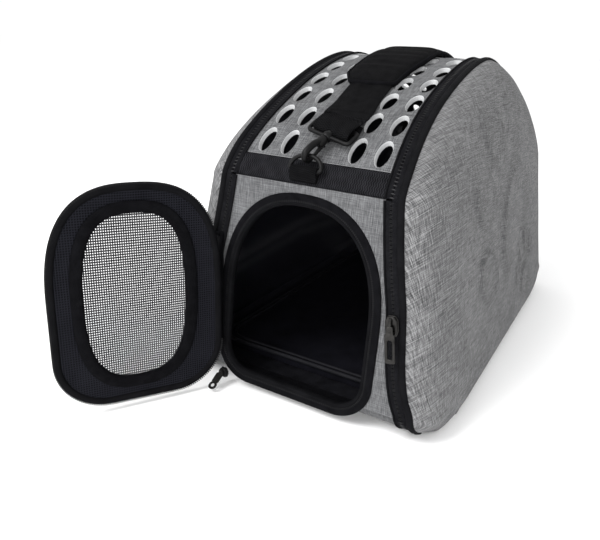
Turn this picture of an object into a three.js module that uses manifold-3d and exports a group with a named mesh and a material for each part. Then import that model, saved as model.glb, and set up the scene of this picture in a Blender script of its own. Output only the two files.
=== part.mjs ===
// Collapsible pet carrier, front door open, shoulder strap laid over the roof.
// Millimetres, +Z up, front faces -Y. The origin is the centre of the base's underside.
import * as THREE from 'three';
import { mergeVertices } from 'three/addons/utils/BufferGeometryUtils.js';
import Module from 'manifold-3d';

const wasm = await Module();
wasm.setup();

// ---------------------------------------------------------------- driving dimensions
const HALF_LENGTH = 217.3;      // y of the front face, carried down to the floor
const LEAN = 0.10;              // the front and rear faces lean in, mm per mm of height
const HINGE_TOP_Z = 186.8;      // height of the fold between front panel and roof
const ROOF_Z = 279.3;           // crest of the roof
const ROOF_RISE = 49.0;         // first handle of the roof curve
const ROOF_FLAT = 54.4;         // second handle, flat at the crest
const STRIP_WIDTH = 20.2;       // black cross strip between front panel and roof
const PANEL_T = 5;              // front and rear panels
const ROOF_T = 4;               // perforated roof
const SHELL_T = 4;              // moulded side shells
const BOARD_T = 3.5;
const SHELL_FOOT_X = 136;       // outer face of a shell at the floor
const SHELL_TOP_X = 92;         // outer face of a shell, carried up to the crest
const SHELL_EDGE_R = 65;        // how far in from the seam the shell stops curving
const SHELL_EDGE_N = 2.27;
const HOLE_PITCH = 31.6;        // vent rows, along the roof
const HOLE_ROWS = 6;            // rows each side of the crest row
const HOLE_X = [-51.5, -30.1, 30.1, 51.5];
const HOLE_RX = 6, HOLE_RS = 13;
const DOOR_OPEN_DEG = 121.5;    // angle of the open door from closed
const DOOR_DROP = 0.06;         // the soft hinge lets the open door's free end drop by this angle
const DOOR_HINGE_X = -70.6, DOOR_HINGE_T = 7.6, DOOR_HINGE_V = 95;
const WEB_WIDE = 38, WEB_NARROW = 25;
const PAD_WIDTH = 58, PAD_T = 8.5, PAD_HALF_S = 106;
// half-width of the seam (middle of the zip) against height
const SEAM = [[0, 102.5], [12, 102], [25, 100], [36, 95], [50, 91], [66, 88],
  [107, 83], [124, 79.6], [146, 75.7], [168, 72.5], [187, 70.3], [207, 69], [228, 66.5],
  [243, 65], [262, 64.5], [290, 64.5]];

// ---------------------------------------------------------------- materials
const mat = (hex, roughness, metalness = 0) =>
  new THREE.MeshStandardMaterial({ color: hex, roughness, metalness, side: THREE.FrontSide });
const GREY_FABRIC = mat(0x8b8c90, 0.9);
const GREY_SHELL = mat(0x7f8084, 0.88);
const BLACK_WEB = mat(0x17171a, 0.85);
const BLACK_BINDING = mat(0x141416, 0.75);
const BLACK_LINING = mat(0x101014, 0.8);
const BLACK_MESH = mat(0x1b1b1e, 0.6);
const BLACK_METAL = mat(0x1d1d20, 0.35, 0.8);
const GUN_METAL = mat(0x6d6e70, 0.32, 0.9);
const MAT_FABRIC = mat(0x16161b, 0.9);
const BOARD = mat(0x202024, 0.9);

// ---------------------------------------------------------------- helpers
function lut(table, v) {
  const n = table.length;
  if (v <= table[0][0]) return table[0][1];
  if (v >= table[n - 1][0]) return table[n - 1][1];
  let i = 0;
  while (table[i + 1][0] < v) i++;
  const slope = (k) => {
    const a = Math.max(0, k - 1), b = Math.min(n - 1, k + 1);
    return (table[b][1] - table[a][1]) / (table[b][0] - table[a][0]);
  };
  const h = table[i + 1][0] - table[i][0], t = (v - table[i][0]) / h;
  const h00 = 2 * t ** 3 - 3 * t ** 2 + 1, h10 = t ** 3 - 2 * t ** 2 + t;
  const h01 = -2 * t ** 3 + 3 * t ** 2, h11 = t ** 3 - t ** 2;
  return h00 * table[i][1] + h10 * h * slope(i) + h01 * table[i + 1][1] + h11 * h * slope(i + 1);
}
const seam = (z) => lut(SEAM, z);

// Roof curve: a Bezier from the front fold to the crest, mirrored to the rear.
const frontY = (z) => -HALF_LENGTH + LEAN * z;
const roofCurve = new THREE.CubicBezierCurve3(
  new THREE.Vector3(0, frontY(HINGE_TOP_Z), HINGE_TOP_Z),
  new THREE.Vector3(0, frontY(HINGE_TOP_Z) + ROOF_RISE / 2, HINGE_TOP_Z + ROOF_RISE),
  new THREE.Vector3(0, -ROOF_FLAT, ROOF_Z),
  new THREE.Vector3(0, 0, ROOF_Z));
roofCurve.arcLengthDivisions = 400;
const ROOF_HALF = roofCurve.getLength();
// s runs along the roof from the front fold (0) over the crest to the rear fold.
function roof(s) {
  const back = s > ROOF_HALF;
  const q = Math.min(1, Math.max(0, (back ? 2 * ROOF_HALF - s : s) / ROOF_HALF));
  const p = roofCurve.getPointAt(q), t = roofCurve.getTangentAt(q);
  const m = back ? -1 : 1;
  const over = back ? Math.max(0, s - 2 * ROOF_HALF) : Math.min(0, s);
  const ty = t.y, tz = m * t.z;
  return { y: m * p.y + over * ty, z: p.z + over * tz, ty, tz, ny: -tz, nz: ty };
}
const SLOPE_LEN = HINGE_TOP_Z * Math.hypot(1, LEAN);
// Under the front and rear faces the side outline turns in to the floor on a rounded corner.
const FOOT_G = 24, FOOT_Z = 2.5;
const FOOT_TOP = FOOT_G / Math.hypot(1, LEAN);
const footCurve = new THREE.CubicBezierCurve3(
  new THREE.Vector3(0, -193, FOOT_Z), new THREE.Vector3(0, -200, 6.5),
  new THREE.Vector3(0, frontY(FOOT_TOP - 9), FOOT_TOP - 9), new THREE.Vector3(0, frontY(FOOT_TOP), FOOT_TOP));
footCurve.arcLengthDivisions = 200;
const FOOT_START = FOOT_G - footCurve.getLength();
// g runs along the whole band: front face, roof, rear face. It starts on the floor, at FOOT_START.
function band(g) {
  if (g < FOOT_G) {
    const q = Math.max(0, (g - FOOT_START) / (FOOT_G - FOOT_START));
    const p = footCurve.getPointAt(q), t = footCurve.getTangentAt(q);
    return { y: p.y, z: p.z, ty: t.y, tz: t.z, ny: -t.z, nz: t.y };
  }
  if (g < SLOPE_LEN) {
    const z = g / Math.hypot(1, LEAN), k = 1 / Math.hypot(1, LEAN);
    return { y: frontY(z), z, ty: LEAN * k, tz: k, ny: -k, nz: LEAN * k };
  }
  const s = g - SLOPE_LEN;
  if (s <= 2 * ROOF_HALF) return roof(s);
  const m = band(2 * SLOPE_LEN + 2 * ROOF_HALF - g);
  return { y: -m.y, z: m.z, ty: m.ty, tz: -m.tz, ny: -m.ny, nz: m.nz };
}
const BAND_LEN = 2 * SLOPE_LEN + 2 * ROOF_HALF;

// A closed slab from a flat triangulation: the map turns (a, b, t) into a point.
function slab(tris, map, t0, t1) {
  const key = (p) => `${Math.round(p[0] * 1e3)}_${Math.round(p[1] * 1e3)}`;
  const idx = new Map(), pts = [];
  const id = (p) => {
    const k = key(p);
    if (!idx.has(k)) { idx.set(k, pts.length); pts.push(p); }
    return idx.get(k);
  };
  const faces = tris.map((t) => t.map(id)).filter((f) => f[0] !== f[1] && f[1] !== f[2] && f[0] !== f[2]);
  const edges = new Map();
  for (const f of faces) for (let i = 0; i < 3; i++) edges.set(`${f[i]}_${f[(i + 1) % 3]}`, [f[i], f[(i + 1) % 3]]);
  const n = pts.length, pos = [], index = [];
  for (const t of [t1, t0]) for (const p of pts) pos.push(...map(p[0], p[1], t));
  for (const [a, b, c] of faces) index.push(a, b, c, n + a, n + c, n + b);
  for (const [a, b] of edges.values()) {
    if (edges.has(`${b}_${a}`)) continue;
    index.push(a, n + a, n + b, a, n + b, b);
  }
  const g = new THREE.BufferGeometry();
  g.setAttribute('position', new THREE.Float32BufferAttribute(pos, 3));
  g.setIndex(index);
  return g;
}
// Triangles of a strip between two edges given as functions of b.
function ribbonTris(bs, a0, a1, cols = 1) {
  const out = [];
  for (let i = 0; i < bs.length - 1; i++) {
    for (let j = 0; j < cols; j++) {
      const f = (k, b) => [a0(b) + (a1(b) - a0(b)) * k / cols, b];
      const p = f(j, bs[i]), q = f(j + 1, bs[i]), r = f(j + 1, bs[i + 1]), s = f(j, bs[i + 1]);
      out.push([p, q, r], [p, r, s]);
    }
  }
  return out;
}
const steps = (a, b, n) => Array.from({ length: n + 1 }, (_, i) => a + (b - a) * i / n);
const onRoof = (x, s, t) => { const r = roof(s); return [x, r.y + t * r.ny, r.z + t * r.nz]; };
const onBand = (x, g, t) => { const r = band(g); return [x, r.y + t * r.ny, r.z + t * r.nz]; };

function clean(geometry) {
  let g = geometry.clone();
  for (const name of Object.keys(g.attributes)) if (name !== 'position') g.deleteAttribute(name);
  g = mergeVertices(g, 1e-4);
  const src = Array.from(g.index.array), out = [];
  for (let i = 0; i < src.length; i += 3) {
    const [a, b, c] = [src[i], src[i + 1], src[i + 2]];
    if (a !== b && b !== c && a !== c) out.push(a, b, c);
  }
  g.setIndex(out);
  g.computeVertexNormals();
  return g;
}
function add(parent, name, geometry, material) {
  const m = new THREE.Mesh(clean(geometry), material);
  m.name = name;
  parent.add(m);
  return m;
}
function group(parent, x = 0, y = 0, z = 0, rx = 0, ry = 0, rz = 0) {
  const g = new THREE.Group();
  g.position.set(x, y, z);
  g.rotation.set(rx, ry, rz);
  parent.add(g);
  return g;
}
// A flat piece standing in the local XZ plane; t is measured out of the face, along -Y.
function plate(outline, t0, t1, holes = []) {
  const shape = new THREE.Shape(outline.map(([x, z]) => new THREE.Vector2(x, z)));
  for (const h of holes) shape.holes.push(new THREE.Path(h.map(([x, z]) => new THREE.Vector2(x, z))));
  const g = new THREE.ExtrudeGeometry(shape, { depth: t1 - t0, bevelEnabled: false, curveSegments: 1 });
  g.rotateX(Math.PI / 2);
  g.translate(0, -t0, 0);
  return g;
}
// Door-like outline: flat bottom with rounded corners, arched top.
function archOutline(cx, hw, bottom, top, spring, rb, power, n = 9) {
  const right = [];
  for (let i = 0; i <= 5; i++) {
    const a = -Math.PI / 2 + (Math.PI / 2) * i / 5;
    right.push([hw - rb + rb * Math.cos(a), bottom + rb + rb * Math.sin(a)]);
  }
  for (let i = 0; i <= n; i++) {
    const a = (Math.PI / 2) * i / n;
    right.push([hw * Math.cos(a) ** (2 / power), spring + (top - spring) * Math.sin(a) ** (2 / power)]);
  }
  const left = right.slice(0, -1).reverse().map(([x, z]) => [-x, z]);
  return right.concat(left).map(([x, z]) => [cx + x, z]);
}
function superOutline(cx, cz, hx, hz, power, n = 40) {
  const out = [];
  for (let i = 0; i < n; i++) {
    const a = 2 * Math.PI * i / n, c = Math.cos(a), s = Math.sin(a);
    out.push([cx + hx * Math.sign(c) * Math.abs(c) ** (2 / power), cz + hz * Math.sign(s) * Math.abs(s) ** (2 / power)]);
  }
  return out;
}
function roundRect(x0, z0, x1, z1, r, n = 3) {
  const out = [];
  for (const [cx, cz, a0] of [[x1 - r, z0 + r, -90], [x1 - r, z1 - r, 0], [x0 + r, z1 - r, 90], [x0 + r, z0 + r, 180]]) {
    for (let i = 0; i <= n; i++) {
      const a = (a0 + 90 * i / n) * Math.PI / 180;
      out.push([cx + r * Math.cos(a), cz + r * Math.sin(a)]);
    }
  }
  return out;
}

const carrier = new THREE.Group();

// ---------------------------------------------------------------- base
function turnOver(g) {
  const a = g.getAttribute('position').array;
  for (let i = 0; i < a.length; i += 9) for (let k = 0; k < 3; k++) [a[i + k], a[i + 3 + k]] = [a[i + 3 + k], a[i + k]];
}
const base = group(carrier);
{
  const outline = roundRect(-121, -184, 121, 184, 30, 5);
  const shape = new THREE.Shape(outline.map(([x, y]) => new THREE.Vector2(x, y)));
  add(base, 'base_board', new THREE.ExtrudeGeometry(shape, { depth: BOARD_T, bevelEnabled: false }), BOARD);
  const mo = roundRect(-112, -168, 112, 180, 22, 5);
  const ms = new THREE.Shape(mo.map(([x, y]) => new THREE.Vector2(x, y)));
  const mg = new THREE.ExtrudeGeometry(ms, { depth: 7.5, bevelEnabled: true, bevelThickness: 1.7, bevelSize: 1.7, bevelOffset: -1.7, bevelSegments: 2 });
  mg.translate(0, 0, BOARD_T + 0.3 + 1.7);
  add(base, 'base_mat', mg, MAT_FABRIC);
  // woven hinge strips between the board and what folds on it
  for (const [side, name] of [[-1, 'left_hinge_strip'], [1, 'right_hinge_strip']]) {
    const b = new THREE.BoxGeometry(5, 300, 1.6);
    b.translate(side * 124.1, 0, 1.3);
    add(base, name, b, BLACK_WEB);
  }
  // a curved skirt at each end, from the board up behind the face that folds on it
  for (const [side, name] of [[-1, 'front_skirt'], [1, 'rear_skirt']]) {
    const outer = [], inner = [];
    for (let i = 0; i <= 8; i++) {
      const a = Math.PI / 2 * i / 8;
      outer.push([186 + 22.8 * Math.sin(a), 20 - 18 * Math.cos(a)]);
      inner.push([186 + 20.2 * Math.sin(a), 20 - 15.4 * Math.cos(a)]);
    }
    outer.push([208.8, 27]);
    inner.push([206.2, 27]);
    const line = outer.concat(inner.reverse());
    const skirt = new THREE.ExtrudeGeometry(new THREE.Shape(line.map(([y, z]) => new THREE.Vector2(y, z))), { depth: 196, bevelEnabled: false });
    // the profile stands in the YZ plane
    skirt.applyMatrix4(new THREE.Matrix4().set(0, 0, 1, -98, side, 0, 0, 0, 0, 1, 0, 0, 0, 0, 0, 1));
    if (side < 0) skirt.index ? skirt.index.array.reverse() : turnOver(skirt);
    add(base, name, skirt, GREY_FABRIC);
  }
}

// ---------------------------------------------------------------- front and rear faces
const K = 1 / Math.hypot(1, LEAN);           // height gained per mm along a leaning face
const LEAN_ANGLE = Math.atan(LEAN);
const vs = (z0, z1, n) => steps(z0 / K, z1 / K, n);
function faceOutline(v0, v1, inset, n = 14) {
  const b = steps(v0, v1, n);
  // closer steps where the seam flares to the floor
  const list = [v0, v0 + 4, v0 + 9, v0 + 15, v0 + 23, v0 + 33, v0 + 46, ...b.filter((v) => v > v0 + 55)];
  const right = list.map((v) => [seam(v * K) - inset, v]);
  return right.concat(right.slice().reverse().map(([x, v]) => [-x, v]));
}
function seamTape(side, v0, v1, in0, in1) {
  const list = [v0, v0 + 3, v0 + 6, v0 + 10, v0 + 15, v0 + 22, v0 + 32, v0 + 46, ...steps(v0 + 62, v1, 6)];
  const a = list.map((v) => [seam(v * K) + in0, v]), b = list.map((v) => [seam(v * K) + in1, v]);
  const o = a.concat(b.reverse());
  return (side > 0 ? o : o.map(([x, v]) => [-x, v]));
}
const front = group(carrier, 0, -HALF_LENGTH, 0, -LEAN_ANGLE, 0, 0);
const TOP_V = HINGE_TOP_Z / K - 1.8, FACE_V = 24.2;
{
  const opening = archOutline(0, 64.5, 19, 172, 85, 25, 2.4);
  // the face ends on a rounded tongue behind the lower rail of the door's surround
  const face = faceOutline(FACE_V, TOP_V, 5.2);
  for (let i = 0; i <= 5; i++) face.push([-44 - 28 * Math.cos(0.5 + (Math.PI / 2 - 0.5) * i / 5), 37.5 - 28 * Math.sin(0.5 + (Math.PI / 2 - 0.5) * i / 5)]);
  for (let i = 5; i >= 0; i--) face.push([44 + 28 * Math.cos(0.5 + (Math.PI / 2 - 0.5) * i / 5), 37.5 - 28 * Math.sin(0.5 + (Math.PI / 2 - 0.5) * i / 5)]);
  add(front, 'front_panel', plate(face, -PANEL_T, 0, [opening]), GREY_FABRIC);
  const ringOut = archOutline(0, 74, 7.5, 179, 82, 30, 2.35), ringIn = archOutline(0, 65.5, 18, 173, 85, 25, 2.4);
  add(front, 'door_surround', plate(ringOut, 0.3, 1.6, [ringIn]), BLACK_BINDING);
  add(front, 'front_tape_left', plate(seamTape(-1, FACE_V, TOP_V, -4.5, -1), -1.8, 0.8), BLACK_BINDING);
  add(front, 'front_tape_right', plate(seamTape(1, FACE_V, TOP_V, -4.5, -1), -1.8, 0.8), BLACK_BINDING);
  add(front, 'door_hinge_tape', plate([[-76.5, 42], [-71.4, 42], [-73.4, 138], [-79.5, 138]], 1.9, 3.0), BLACK_BINDING);
  // slider at the lower end of the door's zip, beside the hinge
  add(front, 'door_slider', plate([[-68.8, 6.5], [-61.8, 6.5], [-60.8, 9], [-60.8, 12], [-62.8, 15], [-67.8, 15], [-69.8, 12], [-69.8, 9]], 2.0, 6.2), BLACK_METAL);
  const dp = group(front, -65.3, -8.2, 11.5);
  const tag = plate(roundRect(-3.8, -17, 3.8, 1.0, 1.8, 3), -0.7, 0.7, [superOutline(0, -13, 1.7, 1.7, 2, 12)]);
  dp.rotation.x = -54 * Math.PI / 180;
  add(dp, 'door_pull', tag, BLACK_METAL);
}
const rear = group(carrier, 0, HALF_LENGTH, 0, -LEAN_ANGLE, 0, Math.PI);
rear.rotation.order = 'ZYX';
{
  // seen from behind this is the front's mirror, so the group is turned half round
  add(rear, 'rear_panel', plate(faceOutline(FACE_V, TOP_V, 5.2), -PANEL_T, 0), GREY_FABRIC);
  add(rear, 'rear_tape_right', plate(seamTape(-1, FACE_V, TOP_V, -4.5, -1), -1.8, 0.8), BLACK_BINDING);
  add(rear, 'rear_tape_left', plate(seamTape(1, FACE_V, TOP_V, -4.5, -1), -1.8, 0.8), BLACK_BINDING);
}

// ---------------------------------------------------------------- door
const doorHinge = group(front, DOOR_HINGE_X, -DOOR_HINGE_T, DOOR_HINGE_V, 0, DOOR_DROP, -DOOR_OPEN_DEG * Math.PI / 180);
doorHinge.rotation.order = 'ZYX';
const door = group(doorHinge, -DOOR_HINGE_X, DOOR_HINGE_T, -DOOR_HINGE_V);
{
  const out = archOutline(-1, 68.8, 3.5, 184.5, 92, 42, 2.7), inner = archOutline(-1, 65.1, 7.2, 180.8, 92, 38.5, 2.7);
  const body = archOutline(-1, 64.8, 7.5, 180.5, 92, 38.2, 2.7);
  const win = superOutline(1.2, 93, 41.3, 69.5, 2.8, 36), winSmall = superOutline(1.2, 93, 40.9, 69.1, 2.8, 36);
  const winOut = superOutline(1.2, 93, 49.5, 77.7, 2.75, 36);
  add(door, 'door_shell', plate(body, 3.5, 8, [win]), GREY_FABRIC);
  add(door, 'door_binding', plate(out, 2.0, 8.5, [inner]), BLACK_BINDING);
  add(door, 'window_binding', plate(winOut, 2.0, 3.2, [win]), BLACK_BINDING);
  add(door, 'door_mesh', plate(winSmall, 5.0, 5.8), BLACK_MESH);
}

// ---------------------------------------------------------------- roof
const top = group(carrier);
{
  // perforated panel, one cell to each row of vents
  const tris = [];
  const w = (s) => seam(roof(s).z) - 5;
  const cells = 2 * HOLE_ROWS + 1;
  for (let i = 0; i < cells; i++) {
    const sc = ROOF_HALF + (i - HOLE_ROWS) * HOLE_PITCH;
    let s0 = sc - HOLE_PITCH / 2, s1 = sc + HOLE_PITCH / 2;
    if (i === 0) s0 = STRIP_WIDTH + 0.6;
    if (i === cells - 1) s1 = 2 * ROOF_HALF - STRIP_WIDTH - 0.6;
    const contour = [[-w(s0), s0], [0, s0], [w(s0), s0], [w(s1), s1], [0, s1], [-w(s1), s1]].map((p) => new THREE.Vector2(...p));
    const holes = HOLE_X.map((hx) => Array.from({ length: 12 }, (_, k) => {
      const a = -2 * Math.PI * k / 12;
      return new THREE.Vector2(hx + HOLE_RX * Math.cos(a), sc + HOLE_RS * Math.sin(a));
    }));
    const all = contour.concat(...holes);
    for (const f of THREE.ShapeUtils.triangulateShape(contour, holes)) {
      let [p, q, r] = f.map((k) => [all[k].x, all[k].y]);
      if ((q[0] - p[0]) * (r[1] - p[1]) - (q[1] - p[1]) * (r[0] - p[0]) < 0) [q, r] = [r, q];
      tris.push([p, q, r]);
    }
  }
  add(top, 'top_panel', slab(tris, onRoof, -ROOF_T, 0), GREY_SHELL);
  const strip = (a, b) => slab(ribbonTris(steps(a, b, 5), (s) => -w(s), (s) => w(s)), onRoof, -ROOF_T, 0.8);
  add(top, 'front_strip', strip(1.2, STRIP_WIDTH), BLACK_WEB);
  add(top, 'rear_strip', strip(2 * ROOF_HALF - STRIP_WIDTH, 2 * ROOF_HALF - 1.2), BLACK_WEB);
  const c = (s) => seam(roof(s).z);
  const ss = steps(1.2, 2 * ROOF_HALF - 1.2, 34);
  add(top, 'top_tape_right', slab(ribbonTris(ss, (s) => c(s) - 4.5, (s) => c(s) - 1), onRoof, -1.8, 0.8), BLACK_BINDING);
  add(top, 'top_tape_left', slab(ribbonTris(ss, (s) => -c(s) + 1, (s) => -c(s) + 4.5), onRoof, -1.8, 0.8), BLACK_BINDING);
}

// ---------------------------------------------------------------- side shells
const RIM = 11.5;                // the shell starts this far outside the seam
const outline = [];
for (const g of steps(FOOT_START, BAND_LEN - FOOT_START, 290)) outline.push(band(g));
function nearest(y, z) {
  let best = 1e9, at = null;
  for (let i = 0; i < outline.length - 1; i++) {
    const a = outline[i], b = outline[i + 1];
    const dy = b.y - a.y, dz = b.z - a.z;
    const t = Math.min(1, Math.max(0, ((y - a.y) * dy + (z - a.z) * dz) / (dy * dy + dz * dz)));
    const d = Math.hypot(y - a.y - t * dy, z - a.z - t * dz);
    if (d < best) { best = d; at = [a.y + t * dy, a.z + t * dz]; }
  }
  return [best, at[1], at[0]];
}
function shellX(y, z) {
  const [d, zr] = nearest(y, z);
  const edge = seam(zr) + RIM;
  let out = SHELL_FOOT_X + (SHELL_TOP_X - SHELL_FOOT_X) * z / ROOF_Z;
  if (z < 26) out -= 10.5 * ((26 - z) / 26) ** 2;
  const u = Math.min(1, d / SHELL_EDGE_R);
  const k = (1 - (1 - u) ** SHELL_EDGE_N) ** (1 / SHELL_EDGE_N);
  return edge + (Math.max(out, edge) - edge) * k;
}
const SHELL_FAN = 115;           // lines from the rim run to the floor between these two y
function shellPoint(g, u) {
  const r = band(g);
  const h = Math.min(Math.max(g, -4), BAND_LEN + 4);
  const ty = -SHELL_FAN * (1 - (h + 4) / (BAND_LEN / 2 + 4)), tz = FOOT_Z;
  const y = r.y + (ty - r.y) * u, z = Math.max(FOOT_Z, r.z + (tz - r.z) * u);
  return new THREE.Vector3(shellX(y, z), y, z);
}
function shellNormal(g, u) {
  const p = shellPoint(g, u), r = band(g);
  const [d, zr, yr] = nearest(p.y, p.z);
  const edge = seam(zr) + RIM;
  let out = SHELL_FOOT_X + (SHELL_TOP_X - SHELL_FOOT_X) * p.z / ROOF_Z;
  let rise = (SHELL_TOP_X - SHELL_FOOT_X) / ROOF_Z;
  if (p.z < 26) {
    out -= 10.5 * ((26 - p.z) / 26) ** 2;
    rise += 21 * (26 - p.z) / 676;
  }
  const q = Math.min(1, Math.max(d, 0.3) / SHELL_EDGE_R);
  const inner = 1 - (1 - q) ** SHELL_EDGE_N, k = inner ** (1 / SHELL_EDGE_N);
  const steep = Math.max(0, out - edge) * inner ** (1 / SHELL_EDGE_N - 1) * (1 - q) ** (SHELL_EDGE_N - 1) / SHELL_EDGE_R;
  // at the rim the slope runs across the band, further in towards the nearest point on it
  const w = Math.min(1, u / 0.09), far = Math.max(d, 1e-6);
  const oy = r.ny * (1 - w) + (yr - p.y) / far * w, oz = r.nz * (1 - w) + (zr - p.z) / far * w;
  const l = Math.max(1e-6, Math.hypot(oy, oz));
  return new THREE.Vector3(1, steep * oy / l, steep * oz / l - k * rise).normalize();
}
function shellSolid(side) {
  const foot = [FOOT_START, -4, 4, 11, 18, 26, 40, 60, 84, 110, 136, 160];
  const gs = [...foot, ...steps(SLOPE_LEN, SLOPE_LEN + 2 * ROOF_HALF, 18), ...foot.slice().reverse().map((v) => BAND_LEN - v)];
  const us = [0, 0.012, 0.04, 0.09, 0.17, 0.3, 0.52, 0.76, 1];
  const tris = [];
  const flip = (t) => (side < 0 ? t : [t[0], t[2], t[1]]);
  for (let i = 0; i < gs.length - 1; i++) {
    for (let j = 0; j < us.length - 1; j++) {
      const p = [gs[i], us[j]], q = [gs[i + 1], us[j]], r = [gs[i + 1], us[j + 1]], s = [gs[i], us[j + 1]];
      tris.push(flip([p, q, r]), flip([p, r, s]));
    }
  }
  return slab(tris, (g, u, t) => {
    const p = shellPoint(g, u), n = shellNormal(g, u);
    p.addScaledVector(n, t);
    p.z = Math.max(p.z, FOOT_Z);
    return [side * p.x, p.y, p.z];
  }, -SHELL_T, 0);
}
function shellTape(side) {
  const foot = [FOOT_START, -5, 1, 7, 12, 17, 22, 32, 46, 64];
  const gs = [...foot, ...steps(86, BAND_LEN - 86, 40), ...foot.slice().reverse().map((v) => BAND_LEN - v)];
  const c = (g) => seam(band(g).z);
  const edge = (g) => c(g) + RIM - 1.8 - 2.6 * Math.max(0, 1 - band(g).z / 22);
  const tris = side > 0 ? ribbonTris(gs, (g) => c(g) + 1, edge)
    : ribbonTris(gs, (g) => -edge(g), (g) => -c(g) - 1);
  return slab(tris, onBand, -1.8, 0.8);
}
const left = group(carrier), right = group(carrier);
add(left, 'left_shell', shellSolid(-1), GREY_SHELL);
add(left, 'left_shell_tape', shellTape(-1), BLACK_BINDING);
add(right, 'right_shell', shellSolid(1), GREY_SHELL);
add(right, 'right_shell_tape', shellTape(1), BLACK_BINDING);

// ---------------------------------------------------------------- side zip sliders
// Each sits on the straight stretch of its seam, 96 mm up, and runs along it.
const SLIDER_V = 96 / K;
const SEAM_TILT = Math.atan((91 - 72.5) / (168 - 50));
function sliderSet(face, name) {
  const g = group(face, seam(96), 0, SLIDER_V, 0, SEAM_TILT * -1, 0);
  add(g, name + '_slider', plate([[-3.4, -8], [3.4, -8], [5.2, -3], [5.2, 5], [3, 8], [-3, 8], [-5.2, 5], [-5.2, -3]], 1.4, 6.4), GUN_METAL);
  const p = group(g, 0, -8.1, 0.5);
  add(p, name + '_pull', plate(roundRect(-4, -27.5, 4, 0.8, 2.2, 3), -0.8, 0.8, [roundRect(-1.8, -24, 1.8, -9, 1.7, 3)]), GUN_METAL);
}
sliderSet(group(front), 'right');
sliderSet(group(rear), 'left');

// ---------------------------------------------------------------- strap, rings and hooks
const LOOP_S = 8.4, RING_X = -2, RING_TILT = 12 * Math.PI / 180, BAR_LIFT = 5.5;
const EYE_AT = new THREE.Vector3(7.5, -168.5, 227.5);   // far bar of the front hook's eye
const BAR_Y = 34.9, BAR_HALF = 1.7;                     // that bar, along the hook

function solid(geometry, matrix) {
  const g = clean(geometry);
  if (matrix) g.applyMatrix4(matrix);
  return new wasm.Manifold(new wasm.Mesh({
    numProp: 3,
    vertProperties: new Float32Array(g.attributes.position.array),
    triVerts: new Uint32Array(g.index.array),
  }));
}
function geometryOf(man) {
  const m = man.getMesh(), pos = [];
  for (let i = 0; i < m.numVert; i++) for (let k = 0; k < 3; k++) pos.push(m.vertProperties[i * m.numProp + k]);
  const g = new THREE.BufferGeometry();
  g.setAttribute('position', new THREE.Float32BufferAttribute(pos, 3));
  g.setIndex(Array.from(m.triVerts));
  return g;
}
// round bar along one axis, from a to b on it
function rod(axis, r, a, b, cx = 0, cy = 0, cz = 0, n = 10) {
  const g = new THREE.CylinderGeometry(r, r, b - a, n);
  if (axis === 'x') g.rotateZ(-Math.PI / 2);
  if (axis === 'z') g.rotateX(Math.PI / 2);
  const m = (a + b) / 2;
  g.translate(axis === 'x' ? m : cx, axis === 'y' ? m : cy, axis === 'z' ? m : cz);
  return g;
}
const block = (x0, x1, y0, y1, z0, z1) => new THREE.BoxGeometry(x1 - x0, y1 - y0, z1 - z0)
  .translate((x0 + x1) / 2, (y0 + y1) / 2, (z0 + z1) / 2);
const flat = (points) => new THREE.Shape(points.map((p) => new THREE.Vector2(...p)));

// A ribbon along a path of stations {p, side}: the map for slab().
function ribbonMap(stations) {
  const curve = new THREE.CatmullRomCurve3(stations.map((q) => q.p), false, 'centripetal');
  const n = stations.length - 1;
  return (x, b, t) => {
    const p = curve.getPoint(b), d = curve.getTangent(b);
    const i = Math.min(n - 1, Math.floor(b * n)), f = b * n - i;
    const side = stations[i].side.clone().lerp(stations[i + 1].side, f);
    side.addScaledVector(d, -side.dot(d)).normalize();
    const out = side.clone().cross(d);
    return [p.x + x * side.x + t * out.x, p.y + x * side.y + t * out.y, p.z + x * side.z + t * out.z];
  };
}
const slant = (s) => EYE_AT.x * Math.max(-1, Math.min(1, (ROOF_HALF - s) / (ROOF_HALF - 58)));
const padStart = ROOF_HALF - PAD_HALF_S;

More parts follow.
